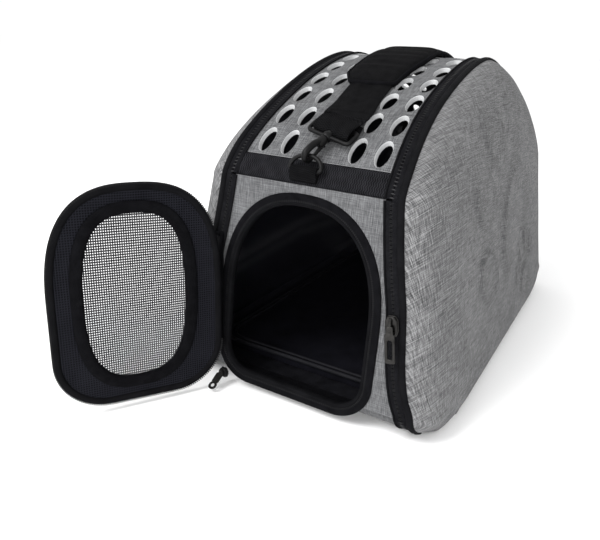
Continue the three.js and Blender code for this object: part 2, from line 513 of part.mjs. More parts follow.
// The rear set is the front one turned half round.
function ringSet(end, name) {
  const set = group(top, 0, 0, 0, 0, 0, end ? Math.PI : 0);
  const r = roof(LOOP_S), slope = Math.atan2(r.tz, r.ty);
  // local frame at the ring's bar: Y up the slope, Z out of the roof
  const bar = group(set, RING_X, r.y + BAR_LIFT * r.ny, r.z + BAR_LIFT * r.nz, slope, 0, 0);
  // doubled webbing folded round the bar and sewn to the cross strip
  const wrap = [];
  for (let i = 0; i <= 9; i++) {
    const a = -Math.PI / 2 + Math.PI * i / 9;
    wrap.push([4.3 * Math.cos(a), 4.3 * Math.sin(a)]);
  }
  const low = 1.2 - LOOP_S;
  const loopShape = flat([[low, -4.3], ...wrap, [-2.6, 2.6], [-4.6, -0.6], [low, -1.0]]);
  loopShape.holes.push(new THREE.Path(superOutline(0, 0, 2.45, 2.45, 2, 12).map((p) => new THREE.Vector2(...p))));
  const lg = new THREE.ExtrudeGeometry(loopShape, { depth: 22.6, bevelEnabled: false });
  lg.applyMatrix4(new THREE.Matrix4().makeBasis(new THREE.Vector3(0, 1, 0), new THREE.Vector3(0, 0, 1), new THREE.Vector3(1, 0, 0)));
  lg.translate(-11.3, 0, 0);
  add(bar, name + '_ring_loop', lg, BLACK_WEB);
  const tilt = group(bar, 0, 0, 0, RING_TILT, 0, 0);
  const dOut = [[-15.5, 0], [-14, -1.75], [14, -1.75], [15.5, 0]], dIn = [[12, 1.75], [-12, 1.75]];
  for (let i = 0; i <= 10; i++) {
    const a = Math.PI * i / 10;
    dOut.push([15.5 * Math.cos(a), 3 + 11.5 * Math.sin(a)]);
    dIn.push([-12 * Math.cos(a), 3 + 8 * Math.sin(a)]);
  }
  const dShape = flat(dOut);
  dShape.holes.push(new THREE.Path(dIn.map((p) => new THREE.Vector2(...p))));
  const dg = new THREE.ExtrudeGeometry(dShape, { depth: 1.7, bevelEnabled: true, bevelThickness: 0.85, bevelSize: 0.7, bevelOffset: -0.7, bevelSegments: 1 });
  dg.translate(0, 0, -0.85);
  add(tilt, name + '_d_ring', dg, BLACK_METAL);

  // hook frame: origin in the wire of the ring's arc, Y towards the strap, Z out of the roof
  const hookAt = new THREE.Vector3(RING_X, r.y + BAR_LIFT * r.ny, r.z + BAR_LIFT * r.nz);
  hookAt.y += 12.75 * Math.cos(slope + RING_TILT);
  hookAt.z += 12.75 * Math.sin(slope + RING_TILT);
  const to = EYE_AT.clone().sub(hookAt).normalize();
  const out = new THREE.Vector3(0, -to.z, to.y);
  out.addScaledVector(to, -out.dot(to)).normalize();
  const side = to.clone().cross(out);
  const at = (y, z) => hookAt.clone().addScaledVector(to, y).addScaledVector(out, z);
  const hook = group(set);
  hook.position.copy(hookAt);
  hook.quaternion.setFromRotationMatrix(new THREE.Matrix4().makeBasis(side, to, out));
  const pts = [[26.0, 0], [20, 0], [15.5, 1.2], [9, 4.5], [3, 4.9], [-2.4, 4.1], [-4.7, 0], [-2.4, -4.1], [2.0, -4.8], [5.0, -4.7]]
    .map(([y, z]) => new THREE.Vector3(0, y, z));
  const wire = new THREE.ExtrudeGeometry(flat(superOutline(0, 0, 1.9, 1.9, 2, 8)), { steps: 24, bevelEnabled: false, extrudePath: new THREE.CatmullRomCurve3(pts, false, 'centripetal') });
  let body = solid(wire).add(solid(rod('y', 3.2, 25.0, 27.0)));
  body = body.add(solid(block(-0.8, 0.8, 12.6, 17.6, -5.0, 0.6)));
  body = body.subtract(solid(rod('x', 1.05, -3, 3, 0, 15.2, -3.2, 8)));
  add(hook, name + '_hook', geometryOf(body), BLACK_METAL);
  // sprung gate that closes the hook's mouth, on a pin through the hook's lug
  const gate = group(hook, 0, 15.2, -3.2, 0.14, 0, 0);
  let gm = solid(rod('y', 1.5, -9.5, -3.4, 0, 0, 0, 8)).add(solid(rod('x', 0.72, -2.0, 2.0, 0, 0, 0, 8)));
  for (const k of [-1, 1]) gm = gm.add(solid(block(k > 0 ? 1.15 : -2.0, k > 0 ? 2.0 : -1.15, -4.8, 1.3, -1.3, 1.3)));
  gm = gm.add(solid(block(-2.0, 2.0, -4.8, -3.3, -1.3, 1.3)));
  add(gate, name + '_gate', geometryOf(gm), BLACK_METAL);
  // swivel: a collar round the hook's stem and the flat eye that the webbing runs through
  const eyeShape = flat([[21.4, 20.6], [22.6, 21.8], [22.6, 35.4], [21.4, 36.6], [-21.4, 36.6], [-22.6, 35.4], [-22.6, 21.8], [-21.4, 20.6]]);
  eyeShape.holes.push(new THREE.Path([[-19.6, 24.2], [-19.6, 33.2], [19.6, 33.2], [19.6, 24.2]].map((p) => new THREE.Vector2(...p))));
  const eg = new THREE.ExtrudeGeometry(eyeShape, { depth: 3.4, bevelEnabled: false });
  eg.translate(0, 0, -1.7);
  const eye = solid(eg).add(solid(rod('y', 4.2, 20.2, 24.5))).subtract(solid(rod('y', 2.35, 19, 24.9)));
  add(hook, name + '_swivel', geometryOf(eye), BLACK_METAL);

  // webbing: its end is folded round the eye's far bar, the rest runs up the roof to the pad
  const st = [];
  const R = 3.9;
  st.push({ p: at(43.5, -1.5), side });
  st.push({ p: at(39.6, -3.0), side });
  for (let i = 0; i <= 6; i++) {
    const a = -Math.PI / 2 - Math.PI * i / 6;
    st.push({ p: at(BAR_Y + R * Math.cos(a), R * Math.sin(a)), side });
  }
  st.push({ p: at(39.8, 3.1), side });
  st.push({ p: at(45.0, 2.0), side });
  for (const s of [88, 99, 109, padStart - 1.4]) {
    const q = roof(s);
    st.push({ p: new THREE.Vector3(slant(s), q.y + 2.4 * q.ny, q.z + 2.4 * q.nz), side: new THREE.Vector3(1, 0, 0) });
  }
  const map = ribbonMap(st);
  const bs = [...steps(0, 9 / (st.length - 1), 20), ...steps(10 / (st.length - 1), 1, 10)];
  add(set, end ? 'strap_rear' : 'strap_front', slab(ribbonTris(bs, () => -WEB_WIDE / 2, () => WEB_WIDE / 2), map, -1, 1), BLACK_WEB);
  return map;
}
const webMap = ringSet(0, 'front');
ringSet(1, 'rear');
{
  const pad = slab(ribbonTris(steps(padStart, 2 * ROOF_HALF - padStart, 16), () => -PAD_WIDTH / 2, () => PAD_WIDTH / 2, 4), (x, s, t) => {
    const r = roof(s);
    const e = Math.abs(x) / (PAD_WIDTH / 2), f = Math.abs(s - ROOF_HALF) / PAD_HALF_S;
    const thick = PAD_T * (1 - 0.45 * e ** 4) * (1 - 0.5 * f ** 8);
    const l = 1.0 + (t > 0 ? thick : 0);
    return [x + slant(s), r.y + l * r.ny, r.z + l * r.nz];
  }, 0, 1);
  add(top, 'shoulder_pad', pad, BLACK_WEB);
  // length adjuster lying on the rear webbing, next to the pad
  const a = new THREE.Vector3(...webMap(0, 0.86, 1)), b = new THREE.Vector3(...webMap(0, 0.95, 1));
  const y = b.clone().sub(a).normalize(), x = new THREE.Vector3(1, 0, 0).addScaledVector(y, -y.x).normalize(), z = x.clone().cross(y);
  const mid = a.add(b).multiplyScalar(0.5).addScaledVector(z, 0.7);
  const turn = group(top, 0, 0, 0, 0, 0, Math.PI), adj = group(turn);
  adj.position.copy(mid);
  adj.quaternion.setFromRotationMatrix(new THREE.Matrix4().makeBasis(x, y, z));
  const so = flat(roundRect(-23, -9, 23, 9, 2.5, 2));
  so.holes.push(new THREE.Path([[-19.5, 1.6], [19.5, 1.6], [19.5, 6.2], [-19.5, 6.2]].map((p) => new THREE.Vector2(...p))));
  so.holes.push(new THREE.Path([[-19.5, -6.2], [19.5, -6.2], [19.5, -1.6], [-19.5, -1.6]].map((p) => new THREE.Vector2(...p))));
  add(adj, 'strap_adjuster', new THREE.ExtrudeGeometry(so, { depth: 2.6, bevelEnabled: false }), BLACK_METAL);
}

export default carrier;
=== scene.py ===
import math
import random

import bmesh
import bpy
import numpy as np
from mathutils import Matrix, Vector


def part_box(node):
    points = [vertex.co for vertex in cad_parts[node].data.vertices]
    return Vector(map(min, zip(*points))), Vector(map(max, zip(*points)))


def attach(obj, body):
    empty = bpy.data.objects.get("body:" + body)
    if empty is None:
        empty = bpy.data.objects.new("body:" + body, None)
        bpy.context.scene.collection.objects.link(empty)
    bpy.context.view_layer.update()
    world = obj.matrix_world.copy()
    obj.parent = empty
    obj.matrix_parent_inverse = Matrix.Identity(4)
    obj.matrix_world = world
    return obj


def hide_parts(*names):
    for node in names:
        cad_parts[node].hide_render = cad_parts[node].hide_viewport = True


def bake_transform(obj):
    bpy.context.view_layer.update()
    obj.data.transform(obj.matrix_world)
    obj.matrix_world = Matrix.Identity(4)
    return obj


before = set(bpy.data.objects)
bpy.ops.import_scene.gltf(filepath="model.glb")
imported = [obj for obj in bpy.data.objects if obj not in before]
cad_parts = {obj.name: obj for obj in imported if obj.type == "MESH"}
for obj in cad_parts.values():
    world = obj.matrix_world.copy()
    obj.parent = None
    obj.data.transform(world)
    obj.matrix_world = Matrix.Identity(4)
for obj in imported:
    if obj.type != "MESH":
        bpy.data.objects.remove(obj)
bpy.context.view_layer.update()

scene = bpy.context.scene
rng = random.Random(7)

# ------------------------------------------------------------------ camera
cam_data = bpy.data.cameras.new("camera")
cam = bpy.data.objects.new("camera", cam_data)
scene.collection.objects.link(cam)
cam_data.sensor_width = 36.0
cam_data.lens = 35.2075
right = Vector((0.8566538, 0.5147039, 0.0349881))
down = Vector((0.2154754, -0.2953580, -0.9307707))
ahead = Vector((-0.4687372, 0.8048873, -0.3639256))
m = Matrix((right, -down, -ahead)).transposed().to_4x4()
m.translation = Vector((0.21985, -0.58072, 0.28952))
cam.matrix_world = m
scene.camera = cam

# ------------------------------------------------------------------ the carrier's curves, in mm, as in the CAD
HALF_LENGTH, LEAN, HINGE_TOP_Z, ROOF_Z = 217.3, 0.10, 186.8, 279.3
ROOF_RISE, ROOF_FLAT, STRIP_WIDTH = 49.0, 54.4, 20.2
SHELL_FOOT_X, SHELL_TOP_X, SHELL_EDGE_R, SHELL_EDGE_N, RIM, FOOT_Z = 136, 92, 65, 2.27, 11.5, 2.5
HOLE_PITCH, HOLE_ROWS, HOLE_RX, HOLE_RS = 31.6, 6, 6, 13
HOLE_X = [-51.5, -30.1, 30.1, 51.5]
SEAM = np.array([[0, 102.5], [12, 102], [25, 100], [36, 95], [50, 91], [66, 88], [107, 83], [124, 79.6],
                 [146, 75.7], [168, 72.5], [187, 70.3], [207, 69], [228, 66.5], [243, 65], [262, 64.5], [290, 64.5]], float)
K = 1 / math.hypot(1, LEAN)


def seam(v):
    t = SEAM
    n = len(t)
    if v <= t[0][0]:
        return t[0][1]
    if v >= t[-1][0]:
        return t[-1][1]
    i = int(np.searchsorted(t[:, 0], v, side="right")) - 1
    i = min(i, n - 2)

    def slope(k):
        a, b = max(0, k - 1), min(n - 1, k + 1)
        return (t[b][1] - t[a][1]) / (t[b][0] - t[a][0])
    h = t[i + 1][0] - t[i][0]
    u = (v - t[i][0]) / h
    return ((2 * u ** 3 - 3 * u ** 2 + 1) * t[i][1] + (u ** 3 - 2 * u ** 2 + u) * h * slope(i)
            + (-2 * u ** 3 + 3 * u ** 2) * t[i + 1][1] + (u ** 3 - u ** 2) * h * slope(i + 1))


def front_y(z):
    return -HALF_LENGTH + LEAN * z


_p = [np.array([front_y(HINGE_TOP_Z), HINGE_TOP_Z]), np.array([front_y(HINGE_TOP_Z) + ROOF_RISE / 2, HINGE_TOP_Z + ROOF_RISE]),
      np.array([-ROOF_FLAT, ROOF_Z]), np.array([0.0, ROOF_Z])]
_t = np.linspace(0, 1, 801)[:, None]
_c = (1 - _t) ** 3 * _p[0] + 3 * (1 - _t) ** 2 * _t * _p[1] + 3 * (1 - _t) * _t ** 2 * _p[2] + _t ** 3 * _p[3]
_d = 3 * (1 - _t) ** 2 * (_p[1] - _p[0]) + 6 * (1 - _t) * _t * (_p[2] - _p[1]) + 3 * _t ** 2 * (_p[3] - _p[2])
_s = np.concatenate([[0], np.cumsum(np.linalg.norm(np.diff(_c, axis=0), axis=1))])
ROOF_HALF = float(_s[-1])
_d /= np.linalg.norm(_d, axis=1)[:, None]


def roof(s):
    """y, z, tangent y, tangent z, normal y, normal z at s along the roof from the front fold."""
    back = s > ROOF_HALF
    q = min(ROOF_HALF, max(0.0, 2 * ROOF_HALF - s if back else s))
    y, z = np.interp(q, _s, _c[:, 0]), np.interp(q, _s, _c[:, 1])
    ty, tz = np.interp(q, _s, _d[:, 0]), np.interp(q, _s, _d[:, 1])
    k = math.hypot(ty, tz)
    ty, tz = ty / k, tz / k
    if back:
        y, tz = -y, -tz
    over = max(0.0, s - 2 * ROOF_HALF) if back else min(0.0, s)
    return y + over * ty, z + over * tz, ty, tz, -tz, ty


SLOPE_LEN = HINGE_TOP_Z * math.hypot(1, LEAN)
BAND_LEN = 2 * SLOPE_LEN + 2 * ROOF_HALF


# the rounded corner under the front and rear faces
FOOT_G = 24.0
_f = [np.array([-193.0, FOOT_Z]), np.array([-200.0, 6.5]), np.array([front_y(FOOT_G * K - 9), FOOT_G * K - 9]), np.array([front_y(FOOT_G * K), FOOT_G * K])]
_fc = (1 - _t) ** 3 * _f[0] + 3 * (1 - _t) ** 2 * _t * _f[1] + 3 * (1 - _t) * _t ** 2 * _f[2] + _t ** 3 * _f[3]
_fd = 3 * (1 - _t) ** 2 * (_f[1] - _f[0]) + 6 * (1 - _t) * _t * (_f[2] - _f[1]) + 3 * _t ** 2 * (_f[3] - _f[2])
_fs = np.concatenate([[0], np.cumsum(np.linalg.norm(np.diff(_fc, axis=0), axis=1))])
_fd /= np.linalg.norm(_fd, axis=1)[:, None]
FOOT_START = FOOT_G - float(_fs[-1])


def band(g):
    if g < FOOT_G:
        q = max(0.0, g - FOOT_START)
        y, z, ty, tz = (np.interp(q, _fs, c) for c in (_fc[:, 0], _fc[:, 1], _fd[:, 0], _fd[:, 1]))
        return y, z, ty, tz, -tz, ty
    if g < SLOPE_LEN:
        z = g * K
        return front_y(z), z, LEAN * K, K, -K, LEAN * K
    s = g - SLOPE_LEN
    if s <= 2 * ROOF_HALF:
        return roof(s)
    y, z, ty, tz, ny, nz = band(BAND_LEN - g)
    return -y, z, ty, -tz, -ny, nz


def on_roof(x, s, t):
    r = roof(s)
    return (x, r[0] + t * r[4], r[1] + t * r[5])


def on_band(x, g, t):
    r = band(g)
    return (x, r[0] + t * r[4], r[1] + t * r[5])


def on_front(x, v, t):
    """Front face: x across, v up the face, t out of it."""
    return (x, -HALF_LENGTH + v * LEAN * K - t * K, v * K + t * LEAN * K)


def on_rear(x, v, t):
    p = on_front(-x, v, t)
    return (-p[0], -p[1], p[2])


DOOR_OPEN, DOOR_DROP = math.radians(121.5), -0.06
DOOR_HX, DOOR_HT, DOOR_HV = -70.6, 7.6, 95.0


def on_door(x, v, t):
    """The open door: coordinates as on the front face when the door is closed."""
    dx, dt, dv = x - DOOR_HX, t - DOOR_HT, v - DOOR_HV
    c, s = math.cos(DOOR_DROP), math.sin(DOOR_DROP)
    dx, dv = dx * c - dv * s, dx * s + dv * c
    c, s = math.cos(DOOR_OPEN), math.sin(DOOR_OPEN)
    return on_front(DOOR_HX + dx * c - dt * s, DOOR_HV + dv, DOOR_HT + dx * s + dt * c)


# ------------------------------------------------------------------ mesh helpers
def new_object(name, verts, faces, materials, index=None, smooth=True, attr=None, angle=40, scale=0.001):
    me = bpy.data.meshes.new(name)
    me.from_pydata([Vector(p) * scale for p in verts], [], [tuple(f) for f in faces])
    for mt in materials:
        me.materials.append(mt)
    if index is not None:
        me.polygons.foreach_set("material_index", list(index))
    if attr is not None:
        a = me.attributes.new("flat", "FLOAT_VECTOR", "POINT")
        a.data.foreach_set("vector", np.array(attr, np.float32).reshape(-1))
    me.validate(clean_customdata=False)
    bm = bmesh.new()
    bm.from_mesh(me)
    bmesh.ops.recalc_face_normals(bm, faces=bm.faces[:])
    bm.to_mesh(me)
    bm.free()
    if smooth:
        me.shade_smooth()
        me.set_sharp_from_angle(angle=math.radians(angle))
    me.update()
    o = bpy.data.objects.new(name, me)
    scene.collection.objects.link(o)
    return o


def put(o, body, slot, *nodes):
    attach(o, body)
    if nodes:
        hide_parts(*nodes)
    return o


class Patch:
    """A flat quad patchwork of (a, b) points that becomes a slab with a face, a back and edges."""

    def __init__(self):
        self.pts, self.key, self.faces = [], {}, []

    def id(self, a, b):
        k = (round(a * 500), round(b * 500))
        if k not in self.key:
            self.key[k] = len(self.pts)
            self.pts.append((a, b))
        return self.key[k]

    def quad(self, *p):
        f = [self.id(*q) for q in p]
        f = [x for i, x in enumerate(f) if x != f[i - 1]]
        if len(f) >= 3:
            area = 0
            for i in range(len(f)):
                x0, y0 = self.pts[f[i - 1]]
                x1, y1 = self.pts[f[i]]
                area += x0 * y1 - x1 * y0
            self.faces.append(f if area > 0 else f[::-1])

    def grid(self, fa, fb):
        """fa: list of functions or lists of a for each b; rows of points."""
        for i in range(len(fb) - 1):
            r0, r1 = fa(fb[i]), fa(fb[i + 1])
            for j in range(len(r0) - 1):
                self.quad((r0[j], fb[i]), (r0[j + 1], fb[i]), (r1[j + 1], fb[i + 1]), (r1[j], fb[i + 1]))

    def ring(self, inner, outer, n=3, ease=lambda t: t):
        m = len(inner)
        for k in range(n):
            t0, t1 = ease(k / n), ease((k + 1) / n)
            for i in range(m):
                j = (i + 1) % m
                q = []
                for (idx, t) in ((i, t0), (j, t0), (j, t1), (i, t1)):
                    q.append((inner[idx][0] + (outer[idx][0] - inner[idx][0]) * t, inner[idx][1] + (outer[idx][1] - inner[idx][1]) * t))
                self.quad(*q)

    def slab(self, mapf, t_face, t_back, lift=None, edge=0.45, side_mat=None):
        """Vertices, faces, material index (0 face, 1 back, 2 edge) and the flat coordinates."""
        edges = {}
        for f in self.faces:
            for i in range(len(f)):
                edges[(f[i], f[(i + 1) % len(f)])] = True
        border = [(a, b) for (a, b) in edges if (b, a) not in edges]
        n = len(self.pts)
        verts, attr = [], []
        for t in (t_face, t_back):
            for (a, b) in self.pts:
                extra = lift(a, b) if lift else 0.0
                verts.append(mapf(a, b, t + extra))
                attr.append((a, b, t))
        faces, index = [], []
        for f in self.faces:
            faces.append(list(f))
            index.append(0)
            faces.append([n + i for i in reversed(f)])
            index.append(1)
        for (a, b) in border:
            faces.append([b, a, n + a, n + b])
            index.append(2)
        return verts, faces, index, attr


def ellipse_cell(x0, x1, s0f, s1f, cx, cs, rx, rs, k=8):
    """Points round a hole and the matching points on its cell's border."""
    border = []
    for i in range(k):
        border.append((x0(s0f) + (x1(s0f) - x0(s0f)) * i / k, s0f))
    for i in range(k):
        s = s0f + (s1f - s0f) * i / k
        border.append((x1(s), s))
    for i in range(k):
        border.append((x1(s1f) + (x0(s1f) - x1(s1f)) * i / k, s1f))
    for i in range(k):
        s = s1f + (s0f - s1f) * i / k
        border.append((x0(s), s))
    hole = []
    for (x, s) in border:
        a = math.atan2((s - cs) / rs, (x - cx) / rx)
        hole.append((cx + rx * math.cos(a), cs + rs * math.sin(a)))
    return hole, border


def arch(cx, hw, bottom, top, spring, rb, power, n=26, nb=9):
    right = []
    for i in range(nb + 1):
        a = -math.pi / 2 + (math.pi / 2) * i / nb
        right.append((hw - rb + rb * math.cos(a), bottom + rb + rb * math.sin(a)))
    for i in range(1, 6):
        v = bottom + rb + (spring - bottom - rb) * i / 6
        right.append((hw, v))
    for i in range(n + 1):
        a = (math.pi / 2) * i / n
        right.append((hw * max(0, math.cos(a)) ** (2 / power), spring + (top - spring) * max(0, math.sin(a)) ** (2 / power)))
    left = [(-x, v) for (x, v) in right[:-1][::-1]]
    return [(cx + x, v) for (x, v) in right + left]


def super_ellipse(cx, cz, hx, hz, power, n=72):
    out = []
    for i in range(n):
        a = 2 * math.pi * i / n
        c, s = math.cos(a), math.sin(a)
        out.append((cx + hx * math.copysign(abs(c) ** (2 / power), c), cz + hz * math.copysign(abs(s) ** (2 / power), s)))
    return out


def resample(points, step, closed=True):
    p = np.array(points + ([points[0]] if closed else []), float)
    d = np.concatenate([[0], np.cumsum(np.linalg.norm(np.diff(p, axis=0), axis=1))])
    n = max(3, int(round(d[-1] / step)))
    u = np.linspace(0, d[-1], n + 1)
    q = np.stack([np.interp(u, d, p[:, k]) for k in range(p.shape[1])], 1)
    return [tuple(x) for x in (q[:-1] if closed else q)], d[-1]


def offsets(points, closed=True):
    """Outward unit normal at each point of a counter-clockwise 2-D loop."""
    p = np.array(points, float)
    if closed:
        d = np.roll(p, -1, 0) - np.roll(p, 1, 0)
    else:
        d = np.gradient(p, axis=0)
    d /= np.maximum(1e-9, np.linalg.norm(d, axis=1))[:, None]
    return np.stack([d[:, 1], -d[:, 0]], 1)


def sweep(points, profile, mapf, closed=True, wobble=None):
    """Sweeps a closed profile of (outward offset, height) along a 2-D line on a mapped surface."""
    nrm = offsets(points, closed)
    verts, faces, attr = [], [], []
    m = len(profile)
    length = 0.0
    for i, p in enumerate(points):
        if i:
            length += math.hypot(p[0] - points[i - 1][0], p[1] - points[i - 1][1])
        w = wobble(length) if wobble else 0.0
        run = 0.0
        for j, (o, t) in enumerate(profile):
            if j:
                run += math.hypot(o - profile[j - 1][0], t - profile[j - 1][1])
            verts.append(mapf(p[0] + o * nrm[i][0], p[1] + o * nrm[i][1], t * (1 + w)))
            attr.append((run, length, t))
    n = len(points)
    for i in range(n if closed else n - 1):
        for j in range(m):
            a, b = i * m + j, i * m + (j + 1) % m
            c, d = ((i + 1) % n) * m + (j + 1) % m, ((i + 1) % n) * m + j
            faces.append((a, b, c, d))
    if not closed:
        faces.append(tuple(range(m)))
        faces.append(tuple(range((n - 1) * m, n * m))[::-1])
    return verts, faces, attr


def round_profile(o0, o1, t0, t1, n=12, power=2.6):
    """A rounded closed profile between two offsets and two heights."""
    co, ct, ro, rt = (o0 + o1) / 2, (t0 + t1) / 2, (o1 - o0) / 2, (t1 - t0) / 2
    return [(co + ro * math.copysign(abs(math.cos(a)) ** (2 / power), math.cos(a)),
             ct + rt * math.copysign(abs(math.sin(a)) ** (2 / power), math.sin(a)))
            for a in [2 * math.pi * i / n for i in range(n)]]


def join_parts(parts):
    """Joins (verts, faces, attr) lists into one."""
    V, F, A, I = [], [], [], []
    for part in parts:
        v, f, a = part[:3]
        mi = part[3] if len(part) > 3 else 0
        o = len(V)
        V += list(v)
        F += [tuple(o + i for i in q) for q in f]
        A += list(a)
        I += [mi] * len(f)
    return V, F, A, I


def tube3(points, radius, n=10, closed=False, flat=1.0, up=None):
    """A round tube along 3-D points."""
    p = np.array(points, float)
    N = len(p)
    if closed:
        d = np.roll(p, -1, 0) - np.roll(p, 1, 0)
    else:
        d = np.gradient(p, axis=0)
    d /= np.linalg.norm(d, axis=1)[:, None]
    u = np.array(up if up is not None else (0.0, 0.0, 1.0))
    if abs(u @ d[0]) > 0.95:
        u = np.array((1.0, 0.0, 0.0))
    verts, attr = [], []
    run = 0.0
    for i in range(N):
        if up is None:
            u = u - (u @ d[i]) * d[i]
        else:
            u = np.array(up, float) - (np.array(up, float) @ d[i]) * d[i]
        u = u / np.linalg.norm(u)
        w = np.cross(d[i], u)
        r = radius[i] if hasattr(radius, "__len__") else radius
        if i:
            run += float(np.linalg.norm(p[i] - p[i - 1]))
        for k in range(n):
            a = 2 * math.pi * k / n
            verts.append(tuple(p[i] + r * (math.cos(a) * u * flat + math.sin(a) * w)))
            attr.append((r * a, run, 0.0))
    faces = []
    for i in range(N if closed else N - 1):
        for k in range(n):
            a, b = i * n + k, i * n + (k + 1) % n
            c, e = ((i + 1) % N) * n + (k + 1) % n, ((i + 1) % N) * n + k
            faces.append((a, b, c, e))
    if not closed:
        faces.append(tuple(range(n))[::-1])
        faces.append(tuple(range((N - 1) * n, N * n)))
    return verts, faces, attr


# ------------------------------------------------------------------ materials
def material(name):
    mt = bpy.data.materials.new(name)
    mt.use_nodes = True
    nt = mt.node_tree
    nt.nodes.clear()
    out = nt.nodes.new("ShaderNodeOutputMaterial")
    bsdf = nt.nodes.new("ShaderNodeBsdfPrincipled")
    nt.links.new(bsdf.outputs[0], out.inputs[0])
    return mt, nt, bsdf


def node(nt, kind, **kw):
    n = nt.nodes.new(kind)
    for k, v in kw.items():
        if k.startswith("in_"):
            n.inputs[int(k[3:])].default_value = v
        else:
            setattr(n, k, v)
    return n


def math_node(nt, op, a, b=None, c=None):
    n = nt.nodes.new("ShaderNodeMath")
    n.operation = op
    for i, v in enumerate((a, b, c)):
        if v is None:
            continue
        if hasattr(v, "default_value") or hasattr(v, "is_linked"):
            nt.links.new(v, n.inputs[i])
        else:
            n.inputs[i].default_value = v
    return n.outputs[0]


def flat_vector(nt, source, scale):
    """Coordinates in mm: the piece's own flat coordinates, or its object coordinates."""
    if source == "flat":
        a = node(nt, "ShaderNodeAttribute", attribute_name="flat", attribute_type="GEOMETRY")
        v, k = a.outputs["Vector"], scale
    else:
        a = node(nt, "ShaderNodeTexCoord")
        v, k = a.outputs["Object"], tuple(1000 * s for s in scale)
    mp = node(nt, "ShaderNodeVectorMath", operation="MULTIPLY")
    nt.links.new(v, mp.inputs[0])
    mp.inputs[1].default_value = k
    return mp.outputs[0]


def noise(nt, vec, scale=1.0, detail=2.0, rough=0.5, distortion=0.0, out=0):
    n = node(nt, "ShaderNodeTexNoise")
    n.inputs["Scale"].default_value = scale
    n.inputs["Detail"].default_value = detail
    n.inputs["Roughness"].default_value = rough
    n.inputs["Distortion"].default_value = distortion
    nt.links.new(vec, n.inputs["Vector"])
    return n.outputs[out]


def separate(nt, vec):
    s = node(nt, "ShaderNodeSeparateXYZ")
    nt.links.new(vec, s.inputs[0])
    return s.outputs


def ramp(nt, fac, stops):
    r = node(nt, "ShaderNodeValToRGB")
    e = r.color_ramp.elements
    while len(e) > len(stops):
        e.remove(e[-1])
    while len(e) < len(stops):
        e.new(0.5)
    for i, (p, c) in enumerate(stops):
        e[i].position = p
        e[i].color = (*c, 1) if len(c) == 3 else c
    nt.links.new(fac, r.inputs[0])
    return r.outputs[0]


def bump(nt, bsdf, height, strength, distance):
    b = node(nt, "ShaderNodeBump")
    b.inputs["Strength"].default_value = strength
    b.inputs["Distance"].default_value = distance
    nt.links.new(height, b.inputs["Height"])
    nt.links.new(b.outputs[0], bsdf.inputs["Normal"])
    return b


def heather(name, dark, mid, light, source="flat", along=0.40, across=0.34, relief_shade=0.0, lo=0.385, hi=0.60):
    """Linen-like heather cloth: long slubs both ways over a fine plain weave."""
    mt, nt, bsdf = material(name)
    v = flat_vector(nt, source, (1, 1, 1))

    x, y, _ = separate(nt, v)

    def threads(slow, fast, k, m, off):
        """Coordinates along one set of threads; each thread is shifted so that no rows of cells line up."""
        q = node(nt, "ShaderNodeCombineXYZ")
        shifted = math_node(nt, "ADD", math_node(nt, "MULTIPLY", slow, k), math_node(nt, "MULTIPLY", fast, 1.37))
        nt.links.new(math_node(nt, "ADD", shifted, off), q.inputs[0])
        nt.links.new(math_node(nt, "MULTIPLY", fast, m), q.inputs[1])
        return q.outputs[0]

    def stretched(k, off):
        mv = node(nt, "ShaderNodeVectorMath", operation="MULTIPLY_ADD")
        nt.links.new(v, mv.inputs[0])
        mv.inputs[1].default_value = k
        mv.inputs[2].default_value = off
        return mv.outputs[0]
    a = noise(nt, threads(x, y, 0.050, 1.9, 3.0), 1.0, 2.0, 0.55)
    b = noise(nt, threads(y, x, 0.085, 1.9, 41.0), 1.0, 2.0, 0.55)
    c = noise(nt, threads(x, y, 0.15, 3.6, 17.0), 1.0, 1.0, 0.5)
    e = noise(nt, threads(y, x, 0.15, 3.6, 29.0), 1.0, 1.0, 0.5)
    d = noise(nt, stretched((0.018, 0.018, 0.0), (1, 1, 0)), 1.0, 2.0, 0.5)
    run = math_node(nt, "ADD", math_node(nt, "MULTIPLY", a, 0.62), math_node(nt, "MULTIPLY", c, 0.38))
    fall = math_node(nt, "ADD", math_node(nt, "MULTIPLY", b, 0.62), math_node(nt, "MULTIPLY", e, 0.38))
    s = math_node(nt, "ADD", math_node(nt, "MULTIPLY", run, along), math_node(nt, "MULTIPLY", fall, across))
    s = math_node(nt, "ADD", s, math_node(nt, "MULTIPLY", d, 1.0 - along - across))
    wx = math_node(nt, "SINE", math_node(nt, "MULTIPLY", x, 2 * math.pi / 0.62))
    wy = math_node(nt, "SINE", math_node(nt, "MULTIPLY", y, 2 * math.pi / 0.62))
    weave = math_node(nt, "MULTIPLY", wx, wy)
    s2 = math_node(nt, "ADD", s, math_node(nt, "MULTIPLY", weave, 0.018))
    col = ramp(nt, s2, [(lo, dark), (0.49, mid), (hi, light)])
    if relief_shade:
        # painted shade: the cloth is painted darker along the edges of the moulded shapes, where the relief's shading
        # would fall
        _, _, z = separate(nt, v)
        mix = node(nt, "ShaderNodeMix", data_type="RGBA")
        nt.links.new(math_node(nt, "MULTIPLY", z, relief_shade), mix.inputs["Factor"])
        nt.links.new(col, mix.inputs["A"])
        mix.inputs["B"].default_value = (*dark, 1)
        col = mix.outputs["Result"]
    nt.links.new(col, bsdf.inputs["Base Color"])
    bsdf.inputs["Roughness"].default_value = 0.92
    bsdf.inputs["Specular IOR Level"].default_value = 0.12
    bsdf.inputs["Sheen Weight"].default_value = 0.04
    bsdf.inputs["Sheen Roughness"].default_value = 0.5
    h = math_node(nt, "ADD", math_node(nt, "MULTIPLY", weave, 0.5), math_node(nt, "MULTIPLY", s, 2.4))
    bump(nt, bsdf, h, 0.35, 0.0003)
    return mt


